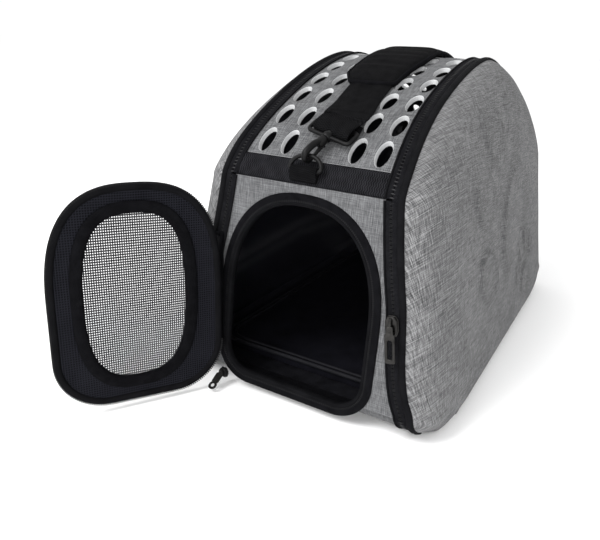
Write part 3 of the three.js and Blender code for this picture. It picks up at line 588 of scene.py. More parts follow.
def webbing(name, base, light, pitch=1.5, across=2.2, source="flat", spec=0.02, rough=0.8):
    """Ribbed webbing: ribs across its length with a herringbone along it."""
    mt, nt, bsdf = material(name)
    v = flat_vector(nt, source, (1, 1, 1))
    x, y, _ = separate(nt, v)
    zig = math_node(nt, "PINGPONG", x, across)
    run = math_node(nt, "ADD", y, math_node(nt, "MULTIPLY", zig, 0.55))
    rib = math_node(nt, "SINE", math_node(nt, "MULTIPLY", run, 2 * math.pi / pitch))
    thread = math_node(nt, "SINE", math_node(nt, "MULTIPLY", x, 2 * math.pi / 0.8))
    n = noise(nt, v, 0.12, 3.0, 0.6)
    f = noise(nt, v, 1.3, 3.0, 0.7)
    s = math_node(nt, "ADD", math_node(nt, "MULTIPLY", rib, 0.24), math_node(nt, "MULTIPLY", thread, 0.07))
    s = math_node(nt, "ADD", math_node(nt, "ADD", s, math_node(nt, "MULTIPLY", n, 0.6)), math_node(nt, "MULTIPLY", f, 0.35))
    col = ramp(nt, s, [(0.18, base), (0.85, light)])
    nt.links.new(col, bsdf.inputs["Base Color"])
    bsdf.inputs["Roughness"].default_value = rough
    bsdf.inputs["Specular IOR Level"].default_value = spec
    bump(nt, bsdf, math_node(nt, "ADD", rib, math_node(nt, "MULTIPLY", thread, 0.4)), 0.7, 0.00025)
    return mt


def cloth_black(name, base, light, pitch=1.1, rough=0.8, sheen=0.0, strength=0.5, spec=0.06, grid=0.12, source="flat", ridge_highlight=None):
    """Plain black cloth with a visible square grain."""
    mt, nt, bsdf = material(name)
    v = flat_vector(nt, source, (1, 1, 1))
    x, y, _ = separate(nt, v)
    wx = math_node(nt, "SINE", math_node(nt, "MULTIPLY", x, 2 * math.pi / pitch))
    wy = math_node(nt, "SINE", math_node(nt, "MULTIPLY", y, 2 * math.pi / pitch))
    w = math_node(nt, "MAXIMUM", wx, wy)
    n = noise(nt, v, 0.05, 3.0, 0.6)
    f = noise(nt, v, 0.9, 3.0, 0.7)
    s = math_node(nt, "ADD", math_node(nt, "MULTIPLY", w, grid), math_node(nt, "ADD", math_node(nt, "MULTIPLY", n, 0.6), math_node(nt, "MULTIPLY", f, 0.35)))
    col = ramp(nt, s, [(0.25, base), (0.8, light)])
    if ridge_highlight:
        # painted highlight: raised ridges are painted a little lighter, standing in for the light they catch
        _, _, z = separate(nt, v)
        mix = node(nt, "ShaderNodeMix", data_type="RGBA")
        nt.links.new(math_node(nt, "MULTIPLY", z, 0.85), mix.inputs["Factor"])
        nt.links.new(col, mix.inputs["A"])
        mix.inputs["B"].default_value = (*ridge_highlight, 1)
        col = mix.outputs["Result"]
    nt.links.new(col, bsdf.inputs["Base Color"])
    bsdf.inputs["Roughness"].default_value = rough
    bsdf.inputs["Specular IOR Level"].default_value = spec
    bsdf.inputs["Sheen Weight"].default_value = sheen
    bump(nt, bsdf, w, strength, 0.0002)
    return mt


def metal(name, color, rough, metallic=1.0, wear_and_highlight=None, spec=0.3):
    mt, nt, bsdf = material(name)
    v = flat_vector(nt, "object", (1, 1, 1))
    n = noise(nt, v, 0.25, 4.0, 0.65)
    f = noise(nt, v, 2.2, 3.0, 0.6)
    # edge wear and painted highlight: sharp edges, found by pointiness, are painted in a lighter colour
    geo = node(nt, "ShaderNodeNewGeometry")
    edge = ramp(nt, geo.outputs["Pointiness"], [(0.5, (0, 0, 0)), (0.58, (1, 1, 1))])
    mix = node(nt, "ShaderNodeMix", data_type="RGBA")
    nt.links.new(math_node(nt, "MULTIPLY", edge, math_node(nt, "MULTIPLY", n, 0.9)), mix.inputs["Factor"])
    col = ramp(nt, n, [(0.3, tuple(c * 0.8 for c in color)), (0.7, color)])
    nt.links.new(col, mix.inputs["A"])
    mix.inputs["B"].default_value = (*(wear_and_highlight or tuple(min(1, c * 2.2) for c in color)), 1)
    nt.links.new(mix.outputs["Result"], bsdf.inputs["Base Color"])
    bsdf.inputs["Metallic"].default_value = metallic
    bsdf.inputs["Specular IOR Level"].default_value = spec
    r = math_node(nt, "ADD", math_node(nt, "MULTIPLY", n, 0.18), rough - 0.06)
    nt.links.new(r, bsdf.inputs["Roughness"])
    bump(nt, bsdf, f, 0.06, 0.0001)
    return mt


def foam(name):
    mt, nt, bsdf = material(name)
    v = flat_vector(nt, "object", (1, 1, 1))
    n = noise(nt, v, 1.8, 4.0, 0.7)
    f = noise(nt, v, 0.15, 2.0, 0.5)
    s = math_node(nt, "ADD", math_node(nt, "MULTIPLY", n, 0.5), math_node(nt, "MULTIPLY", f, 0.5))
    col = ramp(nt, s, [(0.3, (0.33, 0.335, 0.34)), (0.7, (0.46, 0.465, 0.47))])
    nt.links.new(col, bsdf.inputs["Base Color"])
    bsdf.inputs["Roughness"].default_value = 0.85
    bump(nt, bsdf, n, 0.35, 0.0003)
    return mt


def plastic(name, base, light, rough=0.45, spec=0.3):
    mt, nt, bsdf = material(name)
    v = flat_vector(nt, "object", (1, 1, 1))
    n = noise(nt, v, 1.6, 4.0, 0.6)
    g = noise(nt, v, 0.12, 2.0, 0.5)
    col = ramp(nt, math_node(nt, "ADD", math_node(nt, "MULTIPLY", n, 0.4), math_node(nt, "MULTIPLY", g, 0.6)), [(0.35, base), (0.65, light)])
    nt.links.new(col, bsdf.inputs["Base Color"])
    nt.links.new(math_node(nt, "ADD", math_node(nt, "MULTIPLY", g, 0.25), rough - 0.1), bsdf.inputs["Roughness"])
    bsdf.inputs["Specular IOR Level"].default_value = spec
    bump(nt, bsdf, n, 0.12, 0.0002)
    return mt


M_FRONT = heather("heather_front", (0.029, 0.029, 0.031), (0.077, 0.078, 0.081), (0.168, 0.170, 0.175), along=0.38, across=0.56, lo=0.395, hi=0.59)
M_ROOF = heather("heather_roof", (0.022, 0.022, 0.024), (0.070, 0.071, 0.074), (0.170, 0.172, 0.176), along=0.44, across=0.50, lo=0.405, hi=0.58)
# painted shade: the shell's cloth is darkened along the edges of its moulded relief
M_SHELL = heather("heather_shell", (0.022, 0.022, 0.023), (0.090, 0.090, 0.092), (0.250, 0.250, 0.254), along=0.50, across=0.44, relief_shade=0.22, lo=0.40, hi=0.585)
M_WEB = webbing("black_webbing_ribbed", (0.0006, 0.0006, 0.0008), (0.0085, 0.0085, 0.0092))
M_STRIP = webbing("black_strip_ribbed", (0.0006, 0.0006, 0.0008), (0.021, 0.021, 0.024), pitch=1.9, across=1.9)
M_TAPE = webbing("black_zip_tape", (0.0010, 0.0010, 0.0014), (0.014, 0.014, 0.016), pitch=1.0, across=1.3)
M_BIND = webbing("black_binding_tape", (0.0008, 0.0008, 0.0011), (0.0095, 0.0095, 0.0112), pitch=0.9, across=40)
M_PIPE = cloth_black("black_piping", (0.0008, 0.0008, 0.0011), (0.0080, 0.0080, 0.0092), pitch=0.8, rough=0.7, spec=0.03)
# painted highlight: the lining is painted lighter on the shells' ridges
M_LINING = cloth_black("black_lining", (0.0045, 0.0045, 0.0066), (0.0200, 0.0200, 0.0265), pitch=1.4, rough=0.36, spec=0.42, ridge_highlight=(0.090, 0.090, 0.100))
M_MARGIN = cloth_black("mesh_over_lining", (0.0006, 0.0006, 0.0010), (0.0115, 0.0118, 0.0155), pitch=1.95, rough=0.7, spec=0.03, strength=1.0, grid=0.42)
M_THREAD = plastic("mesh_thread", (0.010, 0.010, 0.012), (0.035, 0.035, 0.038), 0.6, 0.1)
M_FOAM = foam("white_foam")
# the lighter edge colours of these metals are edge wear and painted highlight
M_METAL = metal("black_metal", (0.0022, 0.0022, 0.0026), 0.40, 0.04, (0.008, 0.008, 0.008), spec=0.12)
M_GUN = metal("gun_metal", (0.016, 0.0155, 0.015), 0.28, 0.95, (0.062, 0.060, 0.058))
M_COIL = plastic("coil_black", (0.0015, 0.0015, 0.0018), (0.008, 0.008, 0.009), 0.42, 0.14)
M_MAT = cloth_black("mat_pile", (0.0012, 0.0012, 0.0020), (0.0070, 0.0070, 0.0105), pitch=1.2, rough=0.85)
M_MPIPE = cloth_black("mat_piping", (0.002, 0.002, 0.003), (0.012, 0.012, 0.015), pitch=0.8, rough=0.55, spec=0.14)
M_BOARD = plastic("base_plastic", (0.002, 0.002, 0.0026), (0.008, 0.008, 0.010), 0.7, 0.06)
M_STITCH = plastic("black_thread", (0.002, 0.002, 0.0024), (0.008, 0.008, 0.009), 0.7, 0.04)

# ------------------------------------------------------------------ roof with its vents
W = lambda s: seam(roof(s)[1]) - 4.4
STRIP0 = STRIP_WIDTH + 0.5


def roof_cells():
    patch = Patch()
    k = 8
    for i in range(2 * HOLE_ROWS + 1):
        sc = ROOF_HALF + (i - HOLE_ROWS) * HOLE_PITCH
        s0, s1 = sc - HOLE_PITCH / 2, sc + HOLE_PITCH / 2
        if i == 0:
            s0 = STRIP0
        if i == 2 * HOLE_ROWS:
            s1 = 2 * ROOF_HALF - STRIP0
        for side in (-1, 1):
            for (cx, lo, hi) in ((30.1, lambda s: 19.0, lambda s: 40.8), (51.5, lambda s: 40.8, lambda s: W(s))):
                hole, border = ellipse_cell(lo, hi, s0, s1, cx, sc, HOLE_RX, HOLE_RS, k)
                if side < 0:
                    hole, border = [(-x, s) for x, s in hole][::-1], [(-x, s) for x, s in border][::-1]
                patch.ring(hole, border, 3, lambda t: t ** 1.25)
        rows = [s0 + (s1 - s0) * j / k for j in range(k + 1)]
        patch.grid(lambda s: [19.0 * (2 * j / 8 - 1) for j in range(9)], rows)
    return patch


_rc = roof_cells()
v, f, idx, at = _rc.slab(on_roof, 0.0, -4.0)
_n = len(_rc.pts)
for _i, (_x, _s2) in enumerate(_rc.pts):
    _cs = ROOF_HALF + round((_s2 - ROOF_HALF) / HOLE_PITCH) * HOLE_PITCH
    for _cx in HOLE_X:
        if abs(math.hypot((_x - _cx) / HOLE_RX, (_s2 - _cs) / HOLE_RS) - 1) < 0.01:
            v[_n + _i] = on_roof(_cx + (_x - _cx) * 0.80, _cs + (_s2 - _cs) * 0.90, -4.0)
o = new_object("roof_fabric", v, f, [M_ROOF, M_LINING, M_FOAM], idx, attr=at, angle=50)
bev = o.modifiers.new("edge", "BEVEL")
bev.width = 0.0005
bev.segments = 2
bev.limit_method = "ANGLE"
bev.angle_limit = math.radians(60)
put(o, "top", "grey_shell", "top_panel")


def strip_piece(name, s0, s1, node_name):
    patch = Patch()
    n = 14
    patch.grid(lambda s: [W(s) * (2 * j / 40 - 1) for j in range(41)], [s0 + (s1 - s0) * j / n for j in range(n + 1)])
    mid, half = (s0 + s1) / 2, abs(s1 - s0) / 2

    def lift(x, s):
        e = abs(s - mid) / half
        return 1.5 * max(0.0, 1 - e ** 4) ** 0.5
    v, f, idx, at = patch.slab(lambda x, s, t: on_roof(x, s, t), 0.0, -3.2, lift=lambda x, s: lift(x, s))
    n_p = len(patch.pts)
    for i in range(n_p):
        v[n_p + i] = on_roof(patch.pts[i][0], patch.pts[i][1], -3.2)
    o = new_object(name, v, f, [M_STRIP, M_LINING, M_STRIP], idx, attr=[(b, a, t) for (a, b, t) in at], angle=60)
    return put(o, "top", "black_webbing", node_name)


strip_piece("cross_strip_front", 0.2, STRIP_WIDTH + 0.3, "front_strip")
strip_piece("cross_strip_rear", 2 * ROOF_HALF - STRIP_WIDTH - 0.3, 2 * ROOF_HALF - 0.2, "rear_strip")

# ------------------------------------------------------------------ front and rear faces
TOP_V = HINGE_TOP_Z / K


def face_patch(v0, v1, inset, opening=None):
    patch = Patch()
    if opening is None:
        rows = sorted(set([v0, v0 + 3, v0 + 7, v0 + 12, v0 + 18, v0 + 26] + [v0 + 36 + (v1 - v0 - 36) * i / 20 for i in range(21)]))
        patch.grid(lambda v: [(seam(v * K) - inset) * (2 * j / 24 - 1) for j in range(25)], rows)
        return patch
    # rays from the opening to the outline
    inner = opening
    outer = []
    for (x, v) in inner:
        cx, cv = 0.0, 92.0
        dx, dv = x - cx, v - cv
        lo, hi = 1.0, 6.0
        for _ in range(40):
            mid = (lo + hi) / 2
            px, pv = cx + dx * mid, cv + dv * mid
            ax = abs(px)
            tongue = pv > 9.6 and (ax < 44 or math.hypot(ax - 44, pv - 37.5) < 28)
            inside = pv < v1 and ax < seam(max(0, pv) * K) - inset and (pv > v0 or tongue)
            lo, hi = (mid, hi) if inside else (lo, mid)
        outer.append((cx + dx * lo, cv + dv * lo))
    # corners are pulled exactly on to the outline's corners
    for corner in ((seam(v1 * K) - inset, v1), (-(seam(v1 * K) - inset), v1), (seam(v0 * K) - inset, v0), (-(seam(v0 * K) - inset), v0)):
        i = min(range(len(outer)), key=lambda q: (outer[q][0] - corner[0]) ** 2 + (outer[q][1] - corner[1]) ** 2)
        outer[i] = corner
    patch.ring(inner, outer, 6)
    return patch


open_line, _ = resample(arch(0, 65.6, 16.2, 172.8, 85, 25, 2.4, 40, 12), 3.4)
fp = face_patch(22.0, TOP_V - 0.4, 4.4, open_line)
v, f, idx, at = fp.slab(on_front, 0.0, -4.8)
o = new_object("front_fabric", v, f, [M_FRONT, M_LINING, M_BIND], idx, attr=at, angle=50)
put(o, "front", "grey_fabric", "front_panel")
rp = face_patch(22.0, TOP_V - 0.4, 4.4)
v, f, idx, at = rp.slab(on_rear, 0.0, -4.8, lift=lambda x, v: 0.0)
o = new_object("rear_fabric", v, f, [M_FRONT, M_LINING, M_BIND], idx, attr=at, angle=50)
put(o, "rear", "grey_fabric", "rear_panel")

# ------------------------------------------------------------------ side shells
_out = np.array([band(g)[:2] for g in np.linspace(FOOT_START, BAND_LEN - FOOT_START, 561)])
_oa, _ob = _out[:-1], _out[1:]
_od = _ob - _oa
_ol = (_od ** 2).sum(1)


def shell_x(y, z):
    rel = np.array([y, z]) - _oa
    t = np.clip((rel * _od).sum(1) / _ol, 0, 1)
    near = _oa + t[:, None] * _od
    dd = np.hypot(y - near[:, 0], z - near[:, 1])
    i = int(dd.argmin())
    d, zr = dd[i], near[i][1]
    edge = seam(zr) + RIM
    outer = SHELL_FOOT_X + (SHELL_TOP_X - SHELL_FOOT_X) * z / ROOF_Z
    if z < 26:
        outer -= 10.5 * ((26 - z) / 26) ** 2
    u = min(1.0, d / SHELL_EDGE_R)
    k = (1 - (1 - u) ** SHELL_EDGE_N) ** (1 / SHELL_EDGE_N)
    return edge + (max(outer, edge) - edge) * k, d


def smooth(x):
    x = max(0.0, min(1.0, x))
    return x * x * (3 - 2 * x)


def paw(y, z, cy, cz, r, turn):
    """Height from 0 to 1 of a plain paw print raised on the shell."""
    c, s = math.cos(turn), math.sin(turn)
    a, b = ((y - cy) * c + (z - cz) * s) / r, (-(y - cy) * s + (z - cz) * c) / r
    h = 0.0
    for (px, py, rx, ry) in ((0, 0.0, 0.50, 0.36), (-0.70, 0.52, 0.19, 0.27), (-0.25, 0.93, 0.20, 0.30), (0.25, 0.93, 0.20, 0.30), (0.70, 0.52, 0.19, 0.27)):
        e = math.hypot((a - px) / rx, (b - py) / ry)
        if e < 1.2:
            rim = math.exp(-((e - 0.88) / 0.15) ** 2)
            h = max(h, 0.6 * smooth((1.04 - e) / 0.16) + 0.4 * rim)
    return h


def right_relief(y, z):
    return 3.3 * max(paw(y, z, 20, 132, 118, 0.96), 0.7 * paw(y, z, 78, 52, 46, 0.3))


def ridge(y, z, line, w):
    best = 1e9
    for (a, b) in zip(line[:-1], line[1:]):
        dy, dz = b[0] - a[0], b[1] - a[1]
        t = max(0, min(1, ((y - a[0]) * dy + (z - a[1]) * dz) / (dy * dy + dz * dz)))
        best = min(best, math.hypot(y - a[0] - t * dy, z - a[1] - t * dz))
    return math.exp(-(best / w) ** 2)


def shell_mesh(side, relief):
    foot = [FOOT_START, -7.5, -4, 0, 4, 8, 12, 16, 20, 24, 28, 33, 38]
    gs = foot + list(np.linspace(44, BAND_LEN - 44, 230)) + [BAND_LEN - q for q in foot[::-1]]
    us = [0, 0.004, 0.012, 0.026, 0.046, 0.072, 0.105, 0.145, 0.19, 0.24] + list(np.linspace(0.28, 1.0, 56))
    P = np.zeros((len(gs), len(us), 3))
    for i, g in enumerate(gs):
        r = band(g)
        h = min(max(g, -4), BAND_LEN + 4)
        ty, tz = -115 * (1 - (h + 4) / (BAND_LEN / 2 + 4)), FOOT_Z
        for j, u in enumerate(us):
            y, z = r[0] + (ty - r[0]) * u, max(FOOT_Z, r[1] + (tz - r[1]) * u)
            x, d = shell_x(y, z)
            x -= 3.4 * (1 - smooth(d / 10))
            P[i, j] = (x, y, z)
    du, dg = np.gradient(P, axis=1), np.gradient(P, axis=0)
    N = np.cross(dg, du)
    ln = np.linalg.norm(N, axis=2)
    ln[ln < 1e-9] = 1
    N /= ln[..., None]
    N[N[..., 0] < 0] *= -1
    N[0], N[-1] = N[1], N[-2]
    N[:, -1] = N[:, -2]
    R = np.array([[relief(P[i, j, 1], P[i, j, 2]) * smooth(us[j] / 0.2) for j in range(len(us))] for i in range(len(gs))])
    out = P + N * R[..., None]
    inn = P + N * (R - 4.0)[..., None]
    inn[..., 2] = np.maximum(inn[..., 2], FOOT_Z)
    verts, attr, faces, index = [], [], [], []
    ng, nu = len(gs), len(us)
    ga, gb = np.gradient(R, axis=0), np.gradient(R, axis=1)
    la = np.linalg.norm(np.gradient(P, axis=0), axis=2) + 1e-6
    lb = np.linalg.norm(np.gradient(P, axis=1), axis=2) + 1e-6
    # the relief's slope, kept as the third flat coordinate, masks the painted shade on the shell's cloth and the
    # painted highlight on its lining
    steep = np.clip(np.hypot(ga / la, gb / lb) / 0.5, 0, 1)
    for A in (out, inn):
        for i in range(ng):
            for j in range(nu):
                verts.append((side * A[i, j, 0], A[i, j, 1], A[i, j, 2]))
                attr.append((A[i, j, 1], A[i, j, 2] + 0.8 * (136 - P[i, j, 0]), float(steep[i, j])))
    o2 = ng * nu
    for i in range(ng - 1):
        for j in range(nu - 1):
            a, b, c, d = i * nu + j, (i + 1) * nu + j, (i + 1) * nu + j + 1, i * nu + j + 1
            faces.append((a, b, c, d))
            index.append(0)
            faces.append((o2 + d, o2 + c, o2 + b, o2 + a))
            index.append(1)
    for i in range(ng - 1):
        for j in (0, nu - 1):
            a, b = i * nu + j, (i + 1) * nu + j
            faces.append((a, b, o2 + b, o2 + a))
            index.append(2)
    for j in range(nu - 1):
        for i in (0, ng - 1):
            a, b = i * nu + j, i * nu + j + 1
            faces.append((a, b, o2 + b, o2 + a))
            index.append(2)
    return verts, faces, index, attr


LEFT_LINES = [[(-205, 60), (-120, 75), (0, 84), (120, 75), (205, 60)], [(-190, 118), (-120, 140), (0, 152), (120, 140), (190, 118)],
              [(-160, 178), (-90, 205), (0, 217), (90, 205), (160, 178)]]


def left_relief(y, z):
    return -(2.6 * max(ridge(y, z, LEFT_LINES[1], 3.8), 0.8 * ridge(y, z, LEFT_LINES[2], 3.8)) + 1.8 * ridge(y, z, LEFT_LINES[0], 9.0))


for side, name, relief in ((-1, "left_shell", left_relief), (1, "right_shell", right_relief)):
    v, f, idx, at = shell_mesh(side, relief)
    o = new_object(name + "_fabric", v, f, [M_SHELL, M_LINING, M_BIND], idx, attr=at, angle=55)
    put(o, name, "grey_shell", name)

# ------------------------------------------------------------------ zips: tapes, piping and teeth
def seam_line(g0, g1, step, side, off=0.0):
    n = max(2, int(round((g1 - g0) / step)))
    return [(side * (seam(band(g)[1]) + off), g) for g in np.linspace(g0, g1, n + 1)]


def ribbon_along(points, profile, mapf):
    return sweep(points, profile, mapf, closed=False)


def tape_profile(o0, o1, lip=0.0):
    """Flat woven tape with a slightly raised outer edge."""
    return [(o0, -1.2), (o0, 0.35), (o0 + 0.5, 0.75), ((o0 + o1) / 2, 0.85), (o1 - 0.5, 0.75 + lip), (o1, 0.35), (o1, -1.2)]


def mapped(side):
    """On the band, but with the offset's sign always outward from the carrier's middle."""
    return lambda x, g, t: on_band(x, g, t)


def teeth(g0, g1, side, which, mapf, pitch=1.55):
    """One half of a coil zip: rounded teeth that reach over the seam's middle."""
    parts = []
    n = int((g1 - g0) / pitch)
    for i in range(n):
        if i % 2 != which:
            continue
        g = g0 + (i + 0.5) * pitch
        c = seam(band(g)[1])
        e = -1 if which == 0 else 1
        a0, a1 = c + e * 2.0, c - e * 0.9
        w, h = 0.46, 0.72
        vs = []
        for (a, ww, hh) in ((a0, w * 0.8, h * 0.8), ((a0 + a1) / 2, w, h), (a1, w * 0.9, h * 0.9)):
            for (dg, dt) in ((-ww, 0.1), (-ww * 0.6, hh), (ww * 0.6, hh), (ww, 0.1)):
                vs.append(mapf(side * a, g + dg, dt + 0.15))
        fs = []
        for q in range(2):
            for k in range(4):
                a, b = q * 4 + k, q * 4 + (k + 1) % 4
                fs.append((a, b, b + 4, a + 4))
        fs.append((3, 2, 1, 0))
        fs.append((8, 9, 10, 11))
        parts.append((vs, fs, [(0, 0, 0)] * 12))
    return join_parts(parts)


def zip_half(name, body, g0, g1, side, inner, nodes, slot="black_binding", curl=False):
    """The tape on one side of a seam. inner: on the band; otherwise on the shell, with a piped edge."""
    mapf = mapped(side)
    line = seam_line(g0, g1, 5.0, side)
    if side < 0:
        line = line[::-1]
    parts = []
    # sweep()'s outward normal points away from the carrier's middle on both sides with this direction
    if inner:
        prof = tape_profile(-4.9, -0.22)
        parts.append((*ribbon_along(line, prof, mapf), 0))
        parts.append((*ribbon_along(line, round_profile(-5.9, -4.3, 0.2, 1.8, 8), mapf), 1))
    else:
        parts.append((*ribbon_along(line, tape_profile(0.22, 5.4), mapf), 0))
        parts.append((*ribbon_along(line, round_profile(4.4, 10.0, -1.9, 2.1, 14, 2.3), mapf), 1))
    V, F, A, I = join_parts(parts)
    o = new_object(name, V, F, [M_TAPE, M_PIPE], I, attr=A, angle=60)
    put(o, body, slot, *nodes)
    V, F, A, I = teeth(g0, g1, side, 0 if inner else 1, mapf)
    o = new_object(name + "_teeth", V, F, [M_COIL], smooth=True, angle=50)
    put(o, body, slot)


S0, S1 = SLOPE_LEN, SLOPE_LEN + 2 * ROOF_HALF
zip_half("zip_front_left", "front", 22.5, S0 - 0.6, -1, True, ["front_tape_left"])
zip_half("zip_front_right", "front", 22.5, S0 - 0.6, 1, True, ["front_tape_right"])
zip_half("zip_top_left", "top", S0 + 0.6, S1 - 0.6, -1, True, ["top_tape_left"])
zip_half("zip_top_right", "top", S0 + 0.6, S1 - 0.6, 1, True, ["top_tape_right"])
zip_half("zip_rear_left", "rear", S1 + 0.6, BAND_LEN - 22.5, -1, True, ["rear_tape_left"])
zip_half("zip_rear_right", "rear", S1 + 0.6, BAND_LEN - 22.5, 1, True, ["rear_tape_right"])
for _side, _tag in ((-1, "left"), (1, "right")):
    zip_half("zip_front_foot_" + _tag, "base", FOOT_START + 3, 21.9, _side, True, [])
    zip_half("zip_rear_foot_" + _tag, "base", BAND_LEN - 20.6, BAND_LEN - FOOT_START - 3, _side, True, [])
zip_half("zip_left_shell", "left_shell", FOOT_START + 2.2, BAND_LEN - FOOT_START - 2.2, -1, False, ["left_shell_tape"])
zip_half("zip_right_shell", "right_shell", FOOT_START + 2.2, BAND_LEN - FOOT_START - 2.2, 1, False, ["right_shell_tape"])

# ------------------------------------------------------------------ door opening: surround, zip and hinge
ring_line, ring_len = resample(arch(0, 69.0, 12.5, 175.5, 84, 27, 2.38, 40, 12), 3.0)
parts = [(*sweep(ring_line, round_profile(-3.2, 5.4, -1.2, 1.65, 18, 3.4), on_front), 0),
         (*sweep(ring_line, round_profile(-4.9, -2.4, -5.2, 1.6, 12, 2.4), on_front), 1),
         (*sweep(ring_line, round_profile(-3.3, -1.9, 0.5, 1.85, 8, 2.0), on_front), 1)]
V, F, A, I = join_parts(parts)
o = new_object("door_surround_tape", V, F, [M_BIND, M_PIPE], I, attr=A, angle=60)
put(o, "front", "black_binding", "door_surround")


def coil_on_loop(points, mapf, o0, o1, t0, pitch=1.6, closed=True, skip=None):
    pts, length = resample(points, pitch, closed)
    nrm = offsets(pts, closed)
    parts = []
    for i, p in enumerate(pts):
        if skip and skip(p):
            continue
        n = nrm[i]
        tang = (-n[1], n[0])
        vs = []
        for (oo, w, h) in ((o0, 0.5, 0.8), ((o0 + o1) / 2, 0.62, 1.15), (o1, 0.5, 0.9)):
            for (dg, dt) in ((-w, 0.0), (-w * 0.6, h), (w * 0.6, h), (w, 0.0)):
                vs.append(mapf(p[0] + oo * n[0] + dg * tang[0], p[1] + oo * n[1] + dg * tang[1], t0 + dt))
        fs = []
        for q in range(2):
            for k in range(4):
                a, b = q * 4 + k, q * 4 + (k + 1) % 4
                fs.append((a, b, b + 4, a + 4))
        fs.append((3, 2, 1, 0))
        fs.append((8, 9, 10, 11))
        parts.append((vs, fs, [(0, 0, 0)] * 12))
    return join_parts(parts)


V, F, A, I = coil_on_loop(ring_line, on_front, -1.7, -0.1, 0.75, 1.7)
o = new_object("door_zip_coil_frame", V, F, [M_COIL], angle=50)
put(o, "front", "black_binding")

# the hinge: a strip sewn beside the frame and a soft web from it to the door's edge
hinge_strip = [(-76.4, 30), (-75.6, 46), (-76.6, 96), (-79.0, 137)]
line, _ = resample(hinge_strip, 5.0, False)
V, F, A = sweep(line[::-1], round_profile(-3.6, 3.4, -0.2, 2.5, 12, 3.0), on_front, closed=False)
o = new_object("door_hinge_strip", V, F, [M_BIND], attr=A, angle=60)
put(o, "front", "black_binding", "door_hinge_tape")
_h0, _h1 = np.array([-77.0, 2.2]), np.array([-71.6, 9.6])
web_rows = np.linspace(33, 135, 34)
V, F, A = [], [], []
prof = []
for k in range(9):
    q = k / 8
    c0 = _h0 + (_h1 - _h0) * q + np.array([-1.6, 0.9]) * math.sin(math.pi * q)
    prof.append(c0)
prof = np.array(prof)
dn = np.gradient(prof, axis=0)
dn /= np.linalg.norm(dn, axis=1)[:, None]
nn_ = np.stack([-dn[:, 1], dn[:, 0]], 1)
loop2 = [(p, 0) for p in prof + 0.7 * nn_] + [(p, 1) for p in (prof - 0.7 * nn_)[::-1]]
m2 = len(loop2)
for i, v_ in enumerate(web_rows):
    slope_x = -2.6 * smooth((v_ - 60) / 80) + 0.5 * math.sin(v_ * 0.09)
    for k, (p_, _) in enumerate(loop2):
        V.append(on_front(p_[0] + slope_x * (1 - (p_[0] - _h0[0]) / (_h1[0] - _h0[0])) , v_, p_[1]))
        A.append((k * 1.1, v_, 0))
for i in range(len(web_rows) - 1):
    for j in range(m2):
        F.append((i * m2 + j, i * m2 + (j + 1) % m2, (i + 1) * m2 + (j + 1) % m2, (i + 1) * m2 + j))
F += [tuple(range(m2)), tuple(range((len(web_rows) - 1) * m2, len(web_rows) * m2))[::-1]]
o = new_object("door_hinge_web", V, F, [M_BIND], attr=A, angle=60)
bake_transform(o)

# ------------------------------------------------------------------ door
door_out = arch(-1, 68.8, 3.5, 184.5, 92, 42, 2.7, 40, 12)
edge_line, _ = resample(arch(-1, 66.0, 6.3, 181.7, 92, 39.2, 2.7, 40, 12), 3.0)
win = super_ellipse(1.2, 93, 41.3, 69.5, 2.8, 96)
win_line, _ = resample(win, 3.0)


def match_ring(inner, outer_poly, n):
    """For each inner point, the outer point in the same direction from the middle."""
    c = np.mean(np.array(inner), 0)
    poly = np.array(outer_poly + [outer_poly[0]], float)
    out = []
    for p in inner:
        d = np.array(p) - c
        d /= np.linalg.norm(d)
        best = 0
        for a, b in zip(poly[:-1], poly[1:]):
            e = b - a
            den = d[0] * e[1] - d[1] * e[0]
            if abs(den) < 1e-9:
                continue
            w = a - c
            t = (w[0] * e[1] - w[1] * e[0]) / den
            u = (w[0] * d[1] - w[1] * d[0]) / den
            if t > best and -1e-6 <= u <= 1 + 1e-6:
                best = t
        out.append(tuple(c + d * best))
    return out


door_in = [(x, v) for (x, v) in win_line]
outer_pts = match_ring(door_in, edge_line, len(door_in))
patch = Patch()
patch.ring(door_in, outer_pts, 9)
_in, _ou = np.array(door_in), np.array(outer_pts)


def door_dome(a, b):
    """Share of the way from the window to the edge."""
    i = int(((_in[:, 0] - a) ** 2 + (_in[:, 1] - b) ** 2).argmin())
    w = math.hypot(a - _in[i, 0], b - _in[i, 1])
    e = float(np.sqrt(((_ou - (a, b)) ** 2).sum(1)).min())
    return w / max(1e-6, w + e)


# inner side first (it faces the camera when open): a shallow channel between two bindings
vv, ff, ii, aa = patch.slab(on_door, 0, 0)
n_p = len(patch.pts)
verts, attr = [], []
for (a, b) in patch.pts:
    q = door_dome(a, b)
    verts.append(on_door(a, b, 7.6 + 0.7 * math.sin(math.pi * q)))
    attr.append((a, b, 0))
for (a, b) in patch.pts:
    q = door_dome(a, b)
    verts.append(on_door(a, b, 3.4 + 1.0 * math.sin(math.pi * q) ** 0.8))
    attr.append((a, b, 0))
o = new_object("door_panel", verts, ff, [M_FRONT, M_MARGIN, M_BIND], ii, attr=attr, angle=50)
put(o, "door", "grey_fabric", "door_shell")
V, F, A = sweep(edge_line, round_profile(-3.4, 2.9, 1.9, 8.7, 18, 2.4), on_door, wobble=lambda l: 0.012 * math.sin(l * 0.21) + 0.008 * math.sin(l * 0.53))
o = new_object("door_edge_binding", V, F, [M_PIPE], attr=A, angle=70)
put(o, "door", "black_binding", "door_binding")
parts = [(*sweep(win_line, round_profile(-0.8, 8.4, 2.0, 4.6, 14, 2.6), on_door), 0),
         (*sweep(win_line, round_profile(-0.8, 8.0, 6.6, 8.8, 14, 2.6), on_door), 0),
         (*sweep(win_line, round_profile(-1.4, 0.9, 2.6, 8.2, 10, 2.4), on_door), 0)]
V, F, A, I = join_parts(parts)
o = new_object("window_ring", V, F, [M_BIND], attr=A, angle=70)
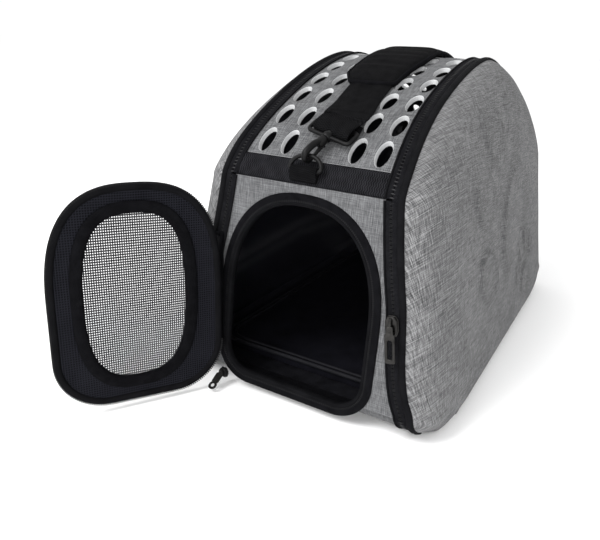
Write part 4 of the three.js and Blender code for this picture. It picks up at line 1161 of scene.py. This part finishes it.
put(o, "door", "black_binding", "window_binding")
V, F, A, I = coil_on_loop(edge_line, on_door, 1.7, 3.3, 2.3, 1.7, skip=lambda p: p[0] < -60 and 45 < p[1] < 150)
o = new_object("door_zip_coil", V, F, [M_COIL], angle=50)
put(o, "door", "black_binding")


def mesh_threads():
    parts = []
    pitch_v, pitch_x, w, h = 2.05, 1.75, 0.56, 0.30
    def bar(p0, p1, ww, t):
        d = np.array(p1) - np.array(p0)
        L = np.linalg.norm(d)
        d /= L
        nrm = np.array([-d[1], d[0]])
        n = max(1, int(L / 12))
        vs = []
        for i in range(n + 1):
            c = np.array(p0) + d * L * i / n
            sag = 0.5 * math.sin(c[0] * 0.05 + 1) * math.sin(c[1] * 0.045)
            for (a, b) in ((-ww, 0), (0, h), (ww, 0), (0, -h)):
                q = c + nrm * a
                vs.append(on_door(q[0], q[1], t + b + sag))
        fs = []
        for i in range(n):
            for k in range(4):
                a, b = i * 4 + k, i * 4 + (k + 1) % 4
                fs.append((a, b, b + 4, a + 4))
        fs.append((0, 1, 2, 3))
        fs.append((n * 4 + 3, n * 4 + 2, n * 4 + 1, n * 4))
        return vs, fs, [(0, 0, 0)] * len(vs)
    hx0, hz0, cx, cz, pw = 41.3, 69.5, 1.2, 93.0, 2.8
    v = cz - hz0 + 1.0
    while v < cz + hz0:
        hx = hx0 * max(0, 1.02 - (abs(v - cz) / hz0) ** pw) ** (1 / pw)
        if hx > 2:
            parts.append(bar((cx - hx, v), (cx + hx, v), w * 1.12, 5.35))
        v += pitch_v
    x = cx - hx0 + 1.0
    while x < cx + hx0:
        hz = hz0 * max(0, 1.02 - (abs(x - cx) / hx0) ** pw) ** (1 / pw)
        if hz > 2:
            parts.append(bar((x, cz - hz), (x, cz + hz), w * 0.92, 5.15))
        x += pitch_x
    return join_parts(parts)


V, F, A, I = mesh_threads()
o = new_object("window_mesh", V, F, [M_THREAD], angle=60)
put(o, "door", "black_mesh", "door_mesh")

# ------------------------------------------------------------------ base and mat
def rounded_rect(x0, y0, x1, y1, r, n=8):
    out = []
    for (cx, cy, a0) in ((x1 - r, y0 + r, -90), (x1 - r, y1 - r, 0), (x0 + r, y1 - r, 90), (x0 + r, y0 + r, 180)):
        for i in range(n + 1):
            a = math.radians(a0 + 90 * i / n)
            out.append((cx + r * math.cos(a), cy + r * math.sin(a)))
    return out


def level(x, y, t):
    return (x, y, t)


line, _ = resample(rounded_rect(-110.2, -166.2, 110.2, 178.2, 20, 10), 4.0)
centre = [(x * 0.30, 6 + (y - 6) * 0.30) for x, y in line]
patch = Patch()
patch.ring(centre, line, 14)
patch.ring([(x * 0.02, 6 + (y - 6) * 0.02) for x, y in line], centre, 4)
vv, ff, ii, aa = patch.slab(level, 0, 0)
verts, attr = [], []


def mat_top(x, y):
    e = min(110.2 - abs(x), y + 166.2, 178.2 - y)
    return 12.2 + 1.6 * smooth(e / 26) + 0.35 * math.sin(x * 0.045 + 1) * math.sin(y * 0.03)


for (a, b) in patch.pts:
    verts.append((a, b, mat_top(a, b)))
    attr.append((a, b, 0))
for (a, b) in patch.pts:
    verts.append((a, b, 4.2))
    attr.append((a, b, 0))
o = new_object("floor_mat", verts, ff, [M_MAT, M_MAT, M_MAT], ii, attr=attr, angle=60)
put(o, "mat", "mat_fabric", "base_mat")
parts = [(*sweep(line, round_profile(-1.6, 1.7, 10.2, 14.3, 12, 2.2), level), 0),
         (*sweep([(x * 0.952, 6 + (y - 6) * 0.970) for x, y in line], round_profile(-1.3, 1.3, 12.0, 14.6, 10, 2.2), level), 0)]
V, F, A, I = join_parts(parts)
o = new_object("floor_mat_piping", V, F, [M_MPIPE], attr=A, angle=70)
put(o, "mat", "mat_fabric")
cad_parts["base_board"].data.materials.clear()
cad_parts["base_board"].data.materials.append(M_BOARD)
for n in ("left_hinge_strip", "right_hinge_strip"):
    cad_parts[n].data.materials.clear()
    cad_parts[n].data.materials.append(M_BIND)


for side, body, strip in ((-1, "left_shell", "left_hinge_strip"), (1, "right_shell", "right_hinge_strip")):
    path = [(113.0, 3.9), (117.0, 3.3), (120.4, 2.6), (122.2, 3.4), (122.3, 6.0), (122.0, 10.0), (121.4, 14.0), (120.8, 18.0)]
    pts, _ = resample(path, 1.6, False)
    q = np.array(pts)
    for _ in range(3):
        q[1:-1] = 0.25 * q[:-2] + 0.5 * q[1:-1] + 0.25 * q[2:]
    d_ = np.gradient(q, axis=0)
    d_ /= np.linalg.norm(d_, axis=1)[:, None]
    n_ = np.stack([d_[:, 1], -d_[:, 0]], 1)
    th = [0.5 - 0.25 * smooth(1 - k / 2.0) - 0.25 * smooth((k - len(q) + 3) / 2.0) for k in range(len(q))]
    loop2 = [q[k] + n_[k] * th[k] for k in range(len(q))] + [q[k] - n_[k] * th[k] for k in range(len(q))][::-1]
    ys = np.linspace(-150, 150, 61)
    V, F, A = [], [], []
    m2 = len(loop2)
    for y in ys:
        tuck = 5.0 * smooth((abs(y) - 128) / 26)
        for k, p_ in enumerate(loop2):
            V.append((side * (p_[0] - tuck), y, max(0.6, p_[1] + 0.15 * math.sin(y * 0.12) * smooth((p_[1] - 4) / 6))))
            A.append((k * 1.5, y, 0))
    for i in range(len(ys) - 1):
        for j in range(m2):
            F.append((i * m2 + j, i * m2 + (j + 1) % m2, (i + 1) * m2 + (j + 1) % m2, (i + 1) * m2 + j))
    F += [tuple(range(m2)), tuple(range((len(ys) - 1) * m2, len(ys) * m2))[::-1]]
    o = new_object(body + "_inner_hinge", V, F, [M_LINING], attr=A, angle=60)
    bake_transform(o)


def skirt_path(n):
    """y, z and outward normal round the skirt, from under the board to its upper hem."""
    out = []
    for i in range(n + 1):
        a = math.pi / 2 * i / n
        out.append((186 + 21.5 * math.sin(a), 20 - 16.7 * math.cos(a), math.sin(a), -math.cos(a)))
    return out + [(207.5, 20 + k, 1.0, 0.0) for k in (2.0, 4.0, 5.6, 6.4)]


def hem_z(x):
    """Height of the skirt's hem: it dips behind the frame of the opening."""
    return 12.6 + 14.4 * smooth((abs(x) - 60) / 14)


for sgn, name in ((-1, "front_skirt"), (1, "rear_skirt")):
    path = skirt_path(14)
    xs = np.linspace(-97.6, 97.6, 40)
    V, F, A, I = [], [], [], []
    m2 = len(path) * 2
    for x in xs:
        edge = smooth((97.6 - abs(x)) / 5)
        run = 0.0
        ring_ = []
        for k, (y, z, ny, nz) in enumerate(path):
            if k:
                run += math.hypot(y - path[k - 1][0], z - path[k - 1][1])
            hem = 1.0 - 0.5 * smooth((k - len(path) + 3) / 2.0)
            puff = 0.12 * math.sin(x * 0.11 + k) * edge
            ring_.append((y, z, ny, nz, 1.15 * hem * (0.6 + 0.4 * edge) + puff, run))
        for (y, z, ny, nz, h, run) in ring_:
            z = min(z, hem_z(x) if sgn < 0 else 24.4)
            V.append((sgn * -x, sgn * (y + h * ny), z + h * nz))
            A.append((x, run, 0))
        for (y, z, ny, nz, h, run) in ring_[::-1]:
            z = min(z, hem_z(x) if sgn < 0 else 24.4)
            V.append((sgn * -x, sgn * (y - h * ny), z - h * nz))
            A.append((x, run, 1))
    for i in range(len(xs) - 1):
        for j in range(m2):
            F.append((i * m2 + j, i * m2 + (j + 1) % m2, (i + 1) * m2 + (j + 1) % m2, (i + 1) * m2 + j))
            I.append(0 if j < len(path) - 4 and not (sgn < 0 and abs(xs[i]) < 62 and path[j + 1][1] > 11.5) else 2)
    F += [tuple(range(m2)), tuple(range((len(xs) - 1) * m2, len(xs) * m2))[::-1]]
    I += [2, 2]
    o = new_object(name + "_fabric", V, F, [M_FRONT, M_LINING, M_BIND], I, attr=A, angle=60)
    put(o, "base", "grey_fabric", name)

# ------------------------------------------------------------------ strap, rings and hooks
LOOP_S, RING_X, RING_TILT, BAR_LIFT = 8.4, -2.0, math.radians(12), 5.5
EYE_AT = np.array([7.5, -168.5, 227.5])
BAR_Y = 34.9
WEB_WIDE, PAD_WIDTH, PAD_T, PAD_HALF_S = 38.0, 58.0, 8.5, 106.0


def turned(p, rear):
    return (-p[0], -p[1], p[2]) if rear else tuple(p)


def hardware(rear):
    r = roof(LOOP_S)
    slope = math.atan2(r[3], r[2])
    barc = np.array([RING_X, r[0] + BAR_LIFT * r[4], r[1] + BAR_LIFT * r[5]])
    ux, uy, uz = np.array([1.0, 0, 0]), np.array([0, math.cos(slope), math.sin(slope)]), np.array([0, -math.sin(slope), math.cos(slope)])
    dirr = slope + RING_TILT
    ry, rz = np.array([0, math.cos(dirr), math.sin(dirr)]), np.array([0, -math.sin(dirr), math.cos(dirr)])
    hook_at = barc + 12.75 * ry
    to = EYE_AT - hook_at
    to /= np.linalg.norm(to)
    out = np.array([0, -to[2], to[1]])
    out -= (out @ to) * to
    out /= np.linalg.norm(out)
    side = np.cross(to, out)
    T = lambda p: turned(p, rear)
    tag = "rear" if rear else "front"

    # the loop of webbing round the ring's bar
    prof = []
    low = 1.2 - LOOP_S
    for i in range(15):
        a = -math.pi / 2 + math.pi * i / 14
        prof.append((4.2 * math.cos(a), 4.2 * math.sin(a)))
    prof += [(-2.8, 2.5), (-4.8, -0.7), (low, -1.3), (low, -4.3)]
    xs = np.linspace(-11.4, 11.4, 13)
    V, F, A = [], [], []
    m = len(prof)
    for i, x in enumerate(xs):
        inset = 0.25 if i in (0, len(xs) - 1) else 0
        run = 0
        for j, (py, pz) in enumerate(prof):
            if j:
                run += math.hypot(py - prof[j - 1][0], pz - prof[j - 1][1])
            p = barc + (x) * ux + (py * (1 - inset * 0.08)) * uy + (pz * (1 - inset * 0.3)) * uz
            V.append(T(p))
            A.append((x, run, 0))
    for i in range(len(xs) - 1):
        for j in range(m):
            F.append((i * m + j, i * m + (j + 1) % m, (i + 1) * m + (j + 1) % m, (i + 1) * m + j))
    F.append(tuple(range(m)))
    F.append(tuple(range((len(xs) - 1) * m, len(xs) * m))[::-1])
    o = new_object(tag + "_ring_webbing", V, F, [M_WEB], attr=A, angle=50)
    put(o, "top", "black_webbing", tag + "_ring_loop")

    # D-ring: one round wire
    pts = []
    for i in range(13):
        pts.append((-12.2 + 24.4 * i / 12, 0))
    for i in range(29):
        a = -math.pi / 2 * 0.62 + (math.pi + 2 * math.pi / 2 * 0.62) * i / 28
        pts.append((13.6 * math.cos(a) * (1 if math.sin(a) > 0 else 0.97 + 0.03), 3.0 + 9.7 * math.sin(a) if math.sin(a) > 0 else 3.0 + 3.0 * math.sin(a) / 0.83))
    loop, _ = resample(pts, 1.4)
    P3 = [barc + x * ux + y * ry for (x, y) in loop]
    V, F, A = tube3([T(p) for p in P3], 1.72, 12, closed=True, up=T(rz))
    o = new_object(tag + "_ring_wire", V, F, [M_METAL], angle=60)
    put(o, tag + "_ring", "black_metal", tag + "_d_ring")

    # hook wire, thicker in its body and thin at the nose
    hp = [(26.0, 0), (23, 0), (20, 0), (15.5, 1.2), (9, 4.5), (3, 4.9), (-2.4, 4.1), (-4.7, 0), (-2.4, -4.1), (2.0, -4.8), (5.0, -4.7)]
    dense, _ = resample(hp, 0.9, False)
    q = np.array(dense)
    for _ in range(6):
        q[1:-1] = 0.25 * q[:-2] + 0.5 * q[1:-1] + 0.25 * q[2:]
    n = len(q)
    rad = [2.75 - 0.85 * smooth((i / n - 0.55) / 0.4) for i in range(n)]
    P3 = [hook_at + y * to + z * out for (y, z) in q]
    parts = [(*tube3([T(p) for p in P3], rad, 12, up=T(side)), 0)]
    head = [(24.9, 0.5), (25.0, 3.1), (25.4, 3.3), (26.6, 3.3), (27.0, 3.0), (27.1, 0.5)]
    parts.append((*tube3([T(hook_at + y * to) for (y, _) in head], [r for (_, r) in head], 16, up=T(side)), 0))
    # collar of the body that carries the gate
    body_pts = [(19.4, 1.9), (19.2, 3.5), (17.6, 4.0), (13.0, 3.9), (11.4, 3.2), (11.1, 1.8)]
    parts.append((*tube3([T(hook_at + y * to + 0.6 * out) for (y, _) in body_pts], [r for (_, r) in body_pts], 14, up=T(side)), 0))
    V, F, A, I = join_parts(parts)
    o = new_object(tag + "_hook_wire", V, F, [M_METAL], angle=50)
    put(o, tag + "_hook", "black_metal", tag + "_hook")
    # gate
    ga, gb = hook_at + 14.6 * to - 3.0 * out, hook_at + 5.9 * to - 4.5 * out
    g = [ga + (gb - ga) * k for k in (0, 0.02, 0.1, 0.3, 0.6, 0.9, 0.98, 1.0)]
    parts = [(*tube3([T(p) for p in g], [1.0, 1.6, 1.9, 1.8, 1.55, 1.45, 1.3, 0.8], 12, up=T(side)), 0)]
    pin = hook_at + 15.2 * to - 3.2 * out
    parts.append((*tube3([T(pin + k * side) for k in (-2.7, -2.6, 2.6, 2.7)], [0.5, 0.9, 0.9, 0.5], 10, up=T(to)), 0))
    V, F, A, I = join_parts(parts)
    o = new_object(tag + "_hook_gate", V, F, [M_METAL], angle=50)
    put(o, tag + "_gate", "black_metal", tag + "_gate")
    # swivel: collar and eye
    eye = [(21.1, 22.6)] + [(21.1, 34.9 - 1.5)]
    rr = rounded_rect(-21.1, 22.3, 21.1, 34.9, 3.2, 6)
    loop, _ = resample(rr, 1.6)
    P3 = [hook_at + x * side + y * to for (x, y) in loop]
    parts = [(*tube3([T(p) for p in P3], 1.72, 12, closed=True, up=T(out)), 0)]
    col = [(20.0, 2.6), (20.1, 3.9), (20.8, 4.3), (23.6, 4.3), (24.5, 3.9), (24.6, 2.6)]
    parts.append((*tube3([T(hook_at + y * to) for (y, _) in col], [r for (_, r) in col], 18, up=T(side)), 0))
    V, F, A, I = join_parts(parts)
    o = new_object(tag + "_swivel_eye", V, F, [M_METAL], angle=50)
    put(o, tag + "_swivel", "black_metal", tag + "_swivel")

    # webbing: folded round the eye, then up the roof under the pad
    at = lambda y, z: hook_at + y * to + z * out
    st = [(at(43.5, -1.5), side), (at(39.6, -3.0), side)]
    for (fy, fz) in ((35.0, -3.9), (30.5, -3.8), (27.0, -2.7), (25.6, 0.0), (27.0, 2.7), (30.5, 3.8), (35.0, 3.9)):
        st.append((at(fy, fz), side))
    st += [(at(39.8, 3.1), side), (at(45.0, 2.0), side)]
    for s in (88, 99, 109, ROOF_HALF - PAD_HALF_S + 3.0):
        r = roof(s)
        st.append((np.array([slant(s), r[0] + 2.4 * r[4], r[1] + 2.4 * r[5]]), np.array([1.0, 0, 0])))
    P = np.array([a for a, _ in st])
    Sd = np.array([b for _, b in st])
    # centripetal-like smooth resampling
    d = np.concatenate([[0], np.cumsum(np.linalg.norm(np.diff(P, axis=0), axis=1))])
    L = d[-1]
    n = int(L / 1.2)
    u = np.linspace(0, L, n)
    C = catmull(P, d, u)
    S = np.stack([np.interp(u, d, Sd[:, k]) for k in range(3)], 1)
    tang = np.gradient(C, axis=0)
    tang /= np.linalg.norm(tang, axis=1)[:, None]
    S -= (S * tang).sum(1)[:, None] * tang
    S /= np.linalg.norm(S, axis=1)[:, None]
    Nn = np.cross(S, tang)
    cols = np.linspace(-WEB_WIDE / 2, WEB_WIDE / 2, 25)
    V, F, A = [], [], []
    prof = [(x, 0.95 - 0.55 * smooth((abs(x) - 17.2) / 1.8)) for x in cols]
    prof = [(x, t) for (x, t) in prof] + [(x, -t) for (x, t) in prof[::-1]]
    m = len(prof)
    for i in range(n):
        gather = 0.95 + 0.05 * smooth((u[i] - 30) / 20)
        for (x, t) in prof:
            ripple = 0.35 * math.sin(x * 0.33 + u[i] * 0.05) * smooth((u[i] - 34) / 25)
            p = C[i] + x * gather * S[i] + (t + ripple) * Nn[i]
            V.append(T(p))
            A.append((x, u[i], 0))
    for i in range(n - 1):
        for j in range(m):
            F.append((i * m + j, i * m + (j + 1) % m, (i + 1) * m + (j + 1) % m, (i + 1) * m + j))
    F.append(tuple(range(m)))
    F.append(tuple(range((n - 1) * m, n * m))[::-1])
    o = new_object("strap_webbing_" + tag, V, F, [M_WEB], attr=A, angle=60)
    put(o, "top", "black_webbing", "strap_" + tag)
    # sewn box that holds the folded end
    parts = []
    i0, i1 = int(np.searchsorted(u, d[10] - 1.5)), int(np.searchsorted(u, d[10] + 9))
    for row in (i0, i1):
        x = -16.0
        while x < 15.5:
            p0 = C[row] + x * S[row] + 1.15 * Nn[row]
            p1 = C[row] + (x + 1.7) * S[row] + 1.15 * Nn[row]
            parts.append((*tube3([T(p0), T((p0 + p1) / 2 + 0.25 * Nn[row]), T(p1)], 0.28, 6), 0))
            x += 2.6
    V, F, A, I = join_parts(parts)
    o = new_object("strap_stitches_" + tag, V, F, [M_STITCH], angle=60)
    put(o, "top", "black_webbing")
    return C, S, Nn, u


def catmull(P, d, u):
    out = []
    for x in u:
        i = int(min(len(P) - 2, max(0, np.searchsorted(d, x, side="right") - 1)))
        h = d[i + 1] - d[i]
        t = (x - d[i]) / h
        m0 = (P[i + 1] - P[i - 1]) / (d[i + 1] - d[i - 1]) if i > 0 else (P[1] - P[0]) / (d[1] - d[0])
        m1 = (P[i + 2] - P[i]) / (d[i + 2] - d[i]) if i + 2 < len(P) else (P[-1] - P[-2]) / (d[-1] - d[-2])
        out.append((2 * t ** 3 - 3 * t ** 2 + 1) * P[i] + (t ** 3 - 2 * t ** 2 + t) * h * m0 + (-2 * t ** 3 + 3 * t ** 2) * P[i + 1] + (t ** 3 - t ** 2) * h * m1)
    return np.array(out)


def slant(s):
    return EYE_AT[0] * max(-1.0, min(1.0, (ROOF_HALF - s) / (ROOF_HALF - 58)))


hardware(False)
C, S, Nn, u = hardware(True)

# shoulder pad: two layers of cloth over foam, bound at the edge
pad0, pad1 = ROOF_HALF - PAD_HALF_S, ROOF_HALF + PAD_HALF_S


def pad_point(x, s, top):
    r = roof(s)
    e, f = min(1.0, abs(x) / (PAD_WIDTH / 2)), min(1.0, abs(s - ROOF_HALF) / PAD_HALF_S)
    k = max(0.0, 1 - e ** 5) ** 0.5 * max(0.0, 1 - f ** 14) ** 0.5
    crease = 0.5 * math.sin(s * 0.19 + x * 0.02) * math.sin(s * 0.05) + 0.35 * math.sin(s * 0.43 + 1)
    h = 3.4 + (4.6 + crease) * k if top else 3.4 - 2.2 * k
    return (pad_x(x, s), r[0] + h * r[4], r[1] + h * r[5])


def pad_x(x, s):
    near, far = s - pad0, pad1 - s
    lo = 0.76 + 0.24 * smooth(near / 20) * smooth(far / 90)
    hi = 0.68 + 0.32 * smooth(near / 90) * smooth(far / 20)
    hi, lo = min(1.0, hi + 0.08), min(1.0, lo + 0.02)
    return x * (lo if x < 0 else hi) + slant(s)


patch = Patch()
corner = rounded_rect(-PAD_WIDTH / 2, pad0, PAD_WIDTH / 2, pad1, 6, 8)
line, _ = resample(corner, 4.0)
mid = [(x * 0.0, min(pad1 - 30, max(pad0 + 30, s))) for (x, s) in line]
patch.ring(mid, line, 10, lambda t: t)
vv, ff, ii, aa = patch.slab(level, 0, 0)
verts, attr = [], []
for (a, b) in patch.pts:
    verts.append(pad_point(a, b, True))
    attr.append((a, b, 0))
for (a, b) in patch.pts:
    verts.append(pad_point(a, b, False))
    attr.append((a, b, 0))
o = new_object("strap_pad", verts, ff, [M_WEB, M_WEB, M_WEB], ii, attr=attr, angle=70)
put(o, "top", "black_webbing", "shoulder_pad")
V, F, A = sweep([(x * 0.985, ROOF_HALF + (s - ROOF_HALF) * 0.996) for (x, s) in line], round_profile(-1.6, 1.7, -2.2, 2.4, 10, 2.2),
                lambda x, s, t: on_roof(pad_x(x, s), s, 3.4 + t))
o = new_object("strap_pad_binding", V, F, [M_BIND], attr=A, angle=70)
put(o, "top", "black_webbing")

# adjuster: a bent-edge slide on the rear webbing
a_s = 0
i = int(len(u) * 0.80)
c0, sx, nn = C[i], S[i], Nn[i]
tt = np.cross(nn, sx)
parts = []
rr, _ = resample(rounded_rect(-21.4, -7.6, 21.4, 7.6, 2.6, 6), 1.6)
T = lambda p: turned(p, True)
parts.append((*tube3([T(c0 + x * sx + y * tt + 3.2 * nn) for (x, y) in rr], 1.45, 10, closed=True, up=T(nn)), 0))
parts.append((*tube3([T(c0 + x * sx + 3.2 * nn) for x in np.linspace(-20.6, 20.6, 14)], 1.4, 10, up=T(nn)), 0))
V, F, A, I = join_parts(parts)
o = new_object("strap_slide", V, F, [M_METAL], angle=60)
put(o, "top", "black_metal", "strap_adjuster")

# ------------------------------------------------------------------ sliders and pulls
def prism(outline, t0, t1, mapf, bevel=0.35, holes=()):
    """A flat plate with a bevelled edge and optional round-ended slots, from nested loops of equal count."""
    if not holes:
        ring0 = outline
        nrm = offsets(ring0)
        V, F = [], []
        levels = [(-bevel, t0), (0, t0 + bevel), (0, t1 - bevel), (-bevel, t1)]
        n = len(ring0)
        for (o_, t) in levels:
            for i, p in enumerate(ring0):
                V.append(mapf(p[0] + o_ * nrm[i][0], p[1] + o_ * nrm[i][1], t))
        for l in range(3):
            for i in range(n):
                j = (i + 1) % n
                F.append((l * n + i, l * n + j, (l + 1) * n + j, (l + 1) * n + i))
        F.append(tuple(range(n))[::-1])
        F.append(tuple(range(3 * n, 4 * n)))
        return V, F, [(0, 0, 0)] * len(V)
    hole = holes[0]
    n = len(hole)
    out = match_ring(hole, outline, n)
    no, ni = offsets(out), offsets(hole)
    V, F = [], []
    loops = [(out, no, -bevel, t0), (out, no, 0, t0 + bevel), (out, no, 0, t1 - bevel), (out, no, -bevel, t1),
             (hole, ni, bevel, t1), (hole, ni, 0, t1 - bevel), (hole, ni, 0, t0 + bevel), (hole, ni, bevel, t0)]
    for (L, N_, o_, t) in loops:
        for i, p in enumerate(L):
            V.append(mapf(p[0] + o_ * N_[i][0], p[1] + o_ * N_[i][1], t))
    for l in range(8):
        for i in range(n):
            j = (i + 1) % n
            a, b = l * n, ((l + 1) % 8) * n
            F.append((a + i, a + j, b + j, b + i))
    return V, F, [(0, 0, 0)] * len(V)


def node_frame(mesh_node):
    lo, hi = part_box(mesh_node)
    return (np.array(lo) + np.array(hi)) * 500.0


TILT = math.atan((91 - 72.5) / (168 - 50))


def slider_map(rear):
    x0, v0 = seam(96), 96 / K
    c, s = math.cos(-TILT), math.sin(-TILT)

    def f(x, y, t):
        # y runs up the seam, t out of the face
        px, pv = x0 + x * c + y * s, v0 - x * s + y * c
        return turned(on_front(px, pv, t), rear)
    return f


for rear, name in ((False, "right"), (True, "left")):
    mp = slider_map(rear)
    body, _ = resample([(-3.2, -8), (3.2, -8), (5.0, -3.5), (5.0, 5), (3.0, 8), (-3.0, 8), (-5.0, 5), (-5.0, -3.5)], 1.2)
    parts = [(*prism(body, 1.5, 3.4, mp, 0.5), 0), (*prism([(x * 0.92, y * 0.94) for x, y in body], 4.2, 5.8, mp, 0.6), 0)]
    parts.append((*prism(resample([(-1.9, 2), (1.9, 2), (1.9, 7), (-1.9, 7)], 1.0)[0], 2.2, 5.2, mp, 0.3), 0))
    # the bridge that holds the pull
    bridge = [mp(0, y, t) for (y, t) in ((6.4, 5.6), (6.0, 6.6), (4.5, 7.2), (1.0, 7.3), (-2.4, 7.2), (-3.8, 6.6), (-4.2, 5.6))]
    parts.append((*tube3(bridge, 1.15, 8), 0))
    V, F, A, I = join_parts(parts)
    o = new_object(name + "_slider_body", V, F, [M_GUN], angle=40)
    put(o, name + "_slider", "gun_metal", name + "_slider")
    outline = rounded_rect(-4.1, -27.6, 4.1, 1.0, 2.0, 5)
    slot_hole = resample(rounded_rect(-2.0, -24.2, 2.0, -9.4, 1.7, 5), 0.8)[0]
    parts = [(*prism(resample(rounded_rect(-4.0, -27.5, 4.0, -4.6, 1.4, 4), 0.8)[0], 7.4, 9.0, mp, 0.4, holes=[slot_hole]), 0),
             (*prism(resample(rounded_rect(-2.9, -6.2, 2.9, -2.4, 0.8, 4), 0.8)[0], 7.45, 8.95, mp, 0.3), 0)]
    parts.append((*prism(resample(rounded_rect(-2.6, -3.2, 2.6, 1.2, 1.1, 4), 0.7)[0], 7.5, 8.9, mp, 0.3), 0))
    V, F, A, I = join_parts(parts)
    o = new_object(name + "_pull_tag", V, F, [M_GUN], angle=40)
    put(o, name + "_pull", "gun_metal", name + "_pull")


def door_tag(x, y, t):
    a = math.radians(-54)
    # local: x across, y up the tag, t out of it; the tag lies out over the floor
    ly, lz = -t, y
    py, pz = ly * math.cos(a) - lz * math.sin(a), ly * math.sin(a) + lz * math.cos(a)
    return on_front(-65.3 + x, 11.5 + pz, 8.2 - py)


body, _ = resample([(-68.8, 6.6), (-61.8, 6.6), (-60.8, 9), (-60.8, 12), (-62.8, 15), (-67.8, 15), (-69.8, 12), (-69.8, 9)], 0.9)
parts = [(*prism(body, 2.0, 3.6, on_front, 0.4), 0), (*prism([(-65.3 + (x + 65.3) * 0.92, 11 + (y - 11) * 0.92) for x, y in body], 4.4, 6.0, on_front, 0.5), 0)]
parts.append((*prism(resample([(-66.8, 9.5), (-63.8, 9.5), (-63.8, 13.5), (-66.8, 13.5)], 0.8)[0], 3.0, 5.2, on_front, 0.2), 0))
parts.append((*tube3([on_front(-65.3, y + 5, t) for (y, t) in ((8.6, 5.8), (8.2, 6.9), (6.0, 7.4), (4.4, 6.9), (4.0, 5.8))], 0.9, 8), 0))
V, F, A, I = join_parts(parts)
o = new_object("door_slider_body", V, F, [M_METAL], angle=40)
put(o, "front", "black_metal", "door_slider")
tag_out = resample(rounded_rect(-3.8, -17, 3.8, 1.0, 2.4, 5), 0.7)[0]
eye_hole = [(1.75 * math.cos(2 * math.pi * i / 24), -13.2 + 1.75 * math.sin(2 * math.pi * i / 24)) for i in range(24)]
low_out = resample(rounded_rect(-3.8, -17, 3.8, -9.6, 3.2, 6), 0.7)[0]
parts = [(*prism(low_out, -0.7, 0.7, door_tag, 0.3, holes=[eye_hole]), 0),
         (*prism(resample(rounded_rect(-3.4, -10.2, 3.4, -0.6, 0.9, 4), 0.8)[0], -0.65, 0.65, door_tag, 0.3), 0),
         (*prism(resample(rounded_rect(-2.2, -1.6, 2.2, 1.0, 0.9, 4), 0.7)[0], -0.6, 0.6, door_tag, 0.25), 0)]
V, F, A, I = join_parts(parts)
o = new_object("door_pull_tag", V, F, [M_GUN], angle=40)
put(o, "door_pull", "black_metal", "door_pull")

# ------------------------------------------------------------------ floor and light
floor_mesh = bpy.data.meshes.new("floor")
floor_mesh.from_pydata([(-40, -40, -0.0004), (40, -40, -0.0004), (40, 40, -0.0004), (-40, 40, -0.0004)], [], [(0, 1, 2, 3)])
floor = bpy.data.objects.new("floor", floor_mesh)
scene.collection.objects.link(floor)
mt, nt, bsdf = material("floor_white")
bsdf.inputs["Base Color"].default_value = (0.985, 0.985, 0.985, 1)
bsdf.inputs["Roughness"].default_value = 0.9
floor_mesh.materials.append(mt)

world = bpy.data.worlds.new("studio")
scene.world = world
world.use_nodes = True
bg = world.node_tree.nodes["Background"]
bg.inputs[0].default_value = (1, 1, 1, 1)
bg.inputs[1].default_value = 1.03


def area(name, loc, target, size, energy):
    d = bpy.data.lights.new(name, "AREA")
    d.energy = energy
    d.size = size
    o = bpy.data.objects.new(name, d)
    scene.collection.objects.link(o)
    o.location = loc
    o.rotation_mode = "QUATERNION"
    o.rotation_quaternion = (Vector(target) - Vector(loc)).to_track_quat("-Z", "Y")


area("key", (-0.9, -1.6, 1.9), (0, 0, 0.12), 1.2, 66)
area("fill", (0.75, -2.35, 0.62), (0.05, 0, 0.12), 0.9, 30)
scene.view_settings.view_transform = "Standard"
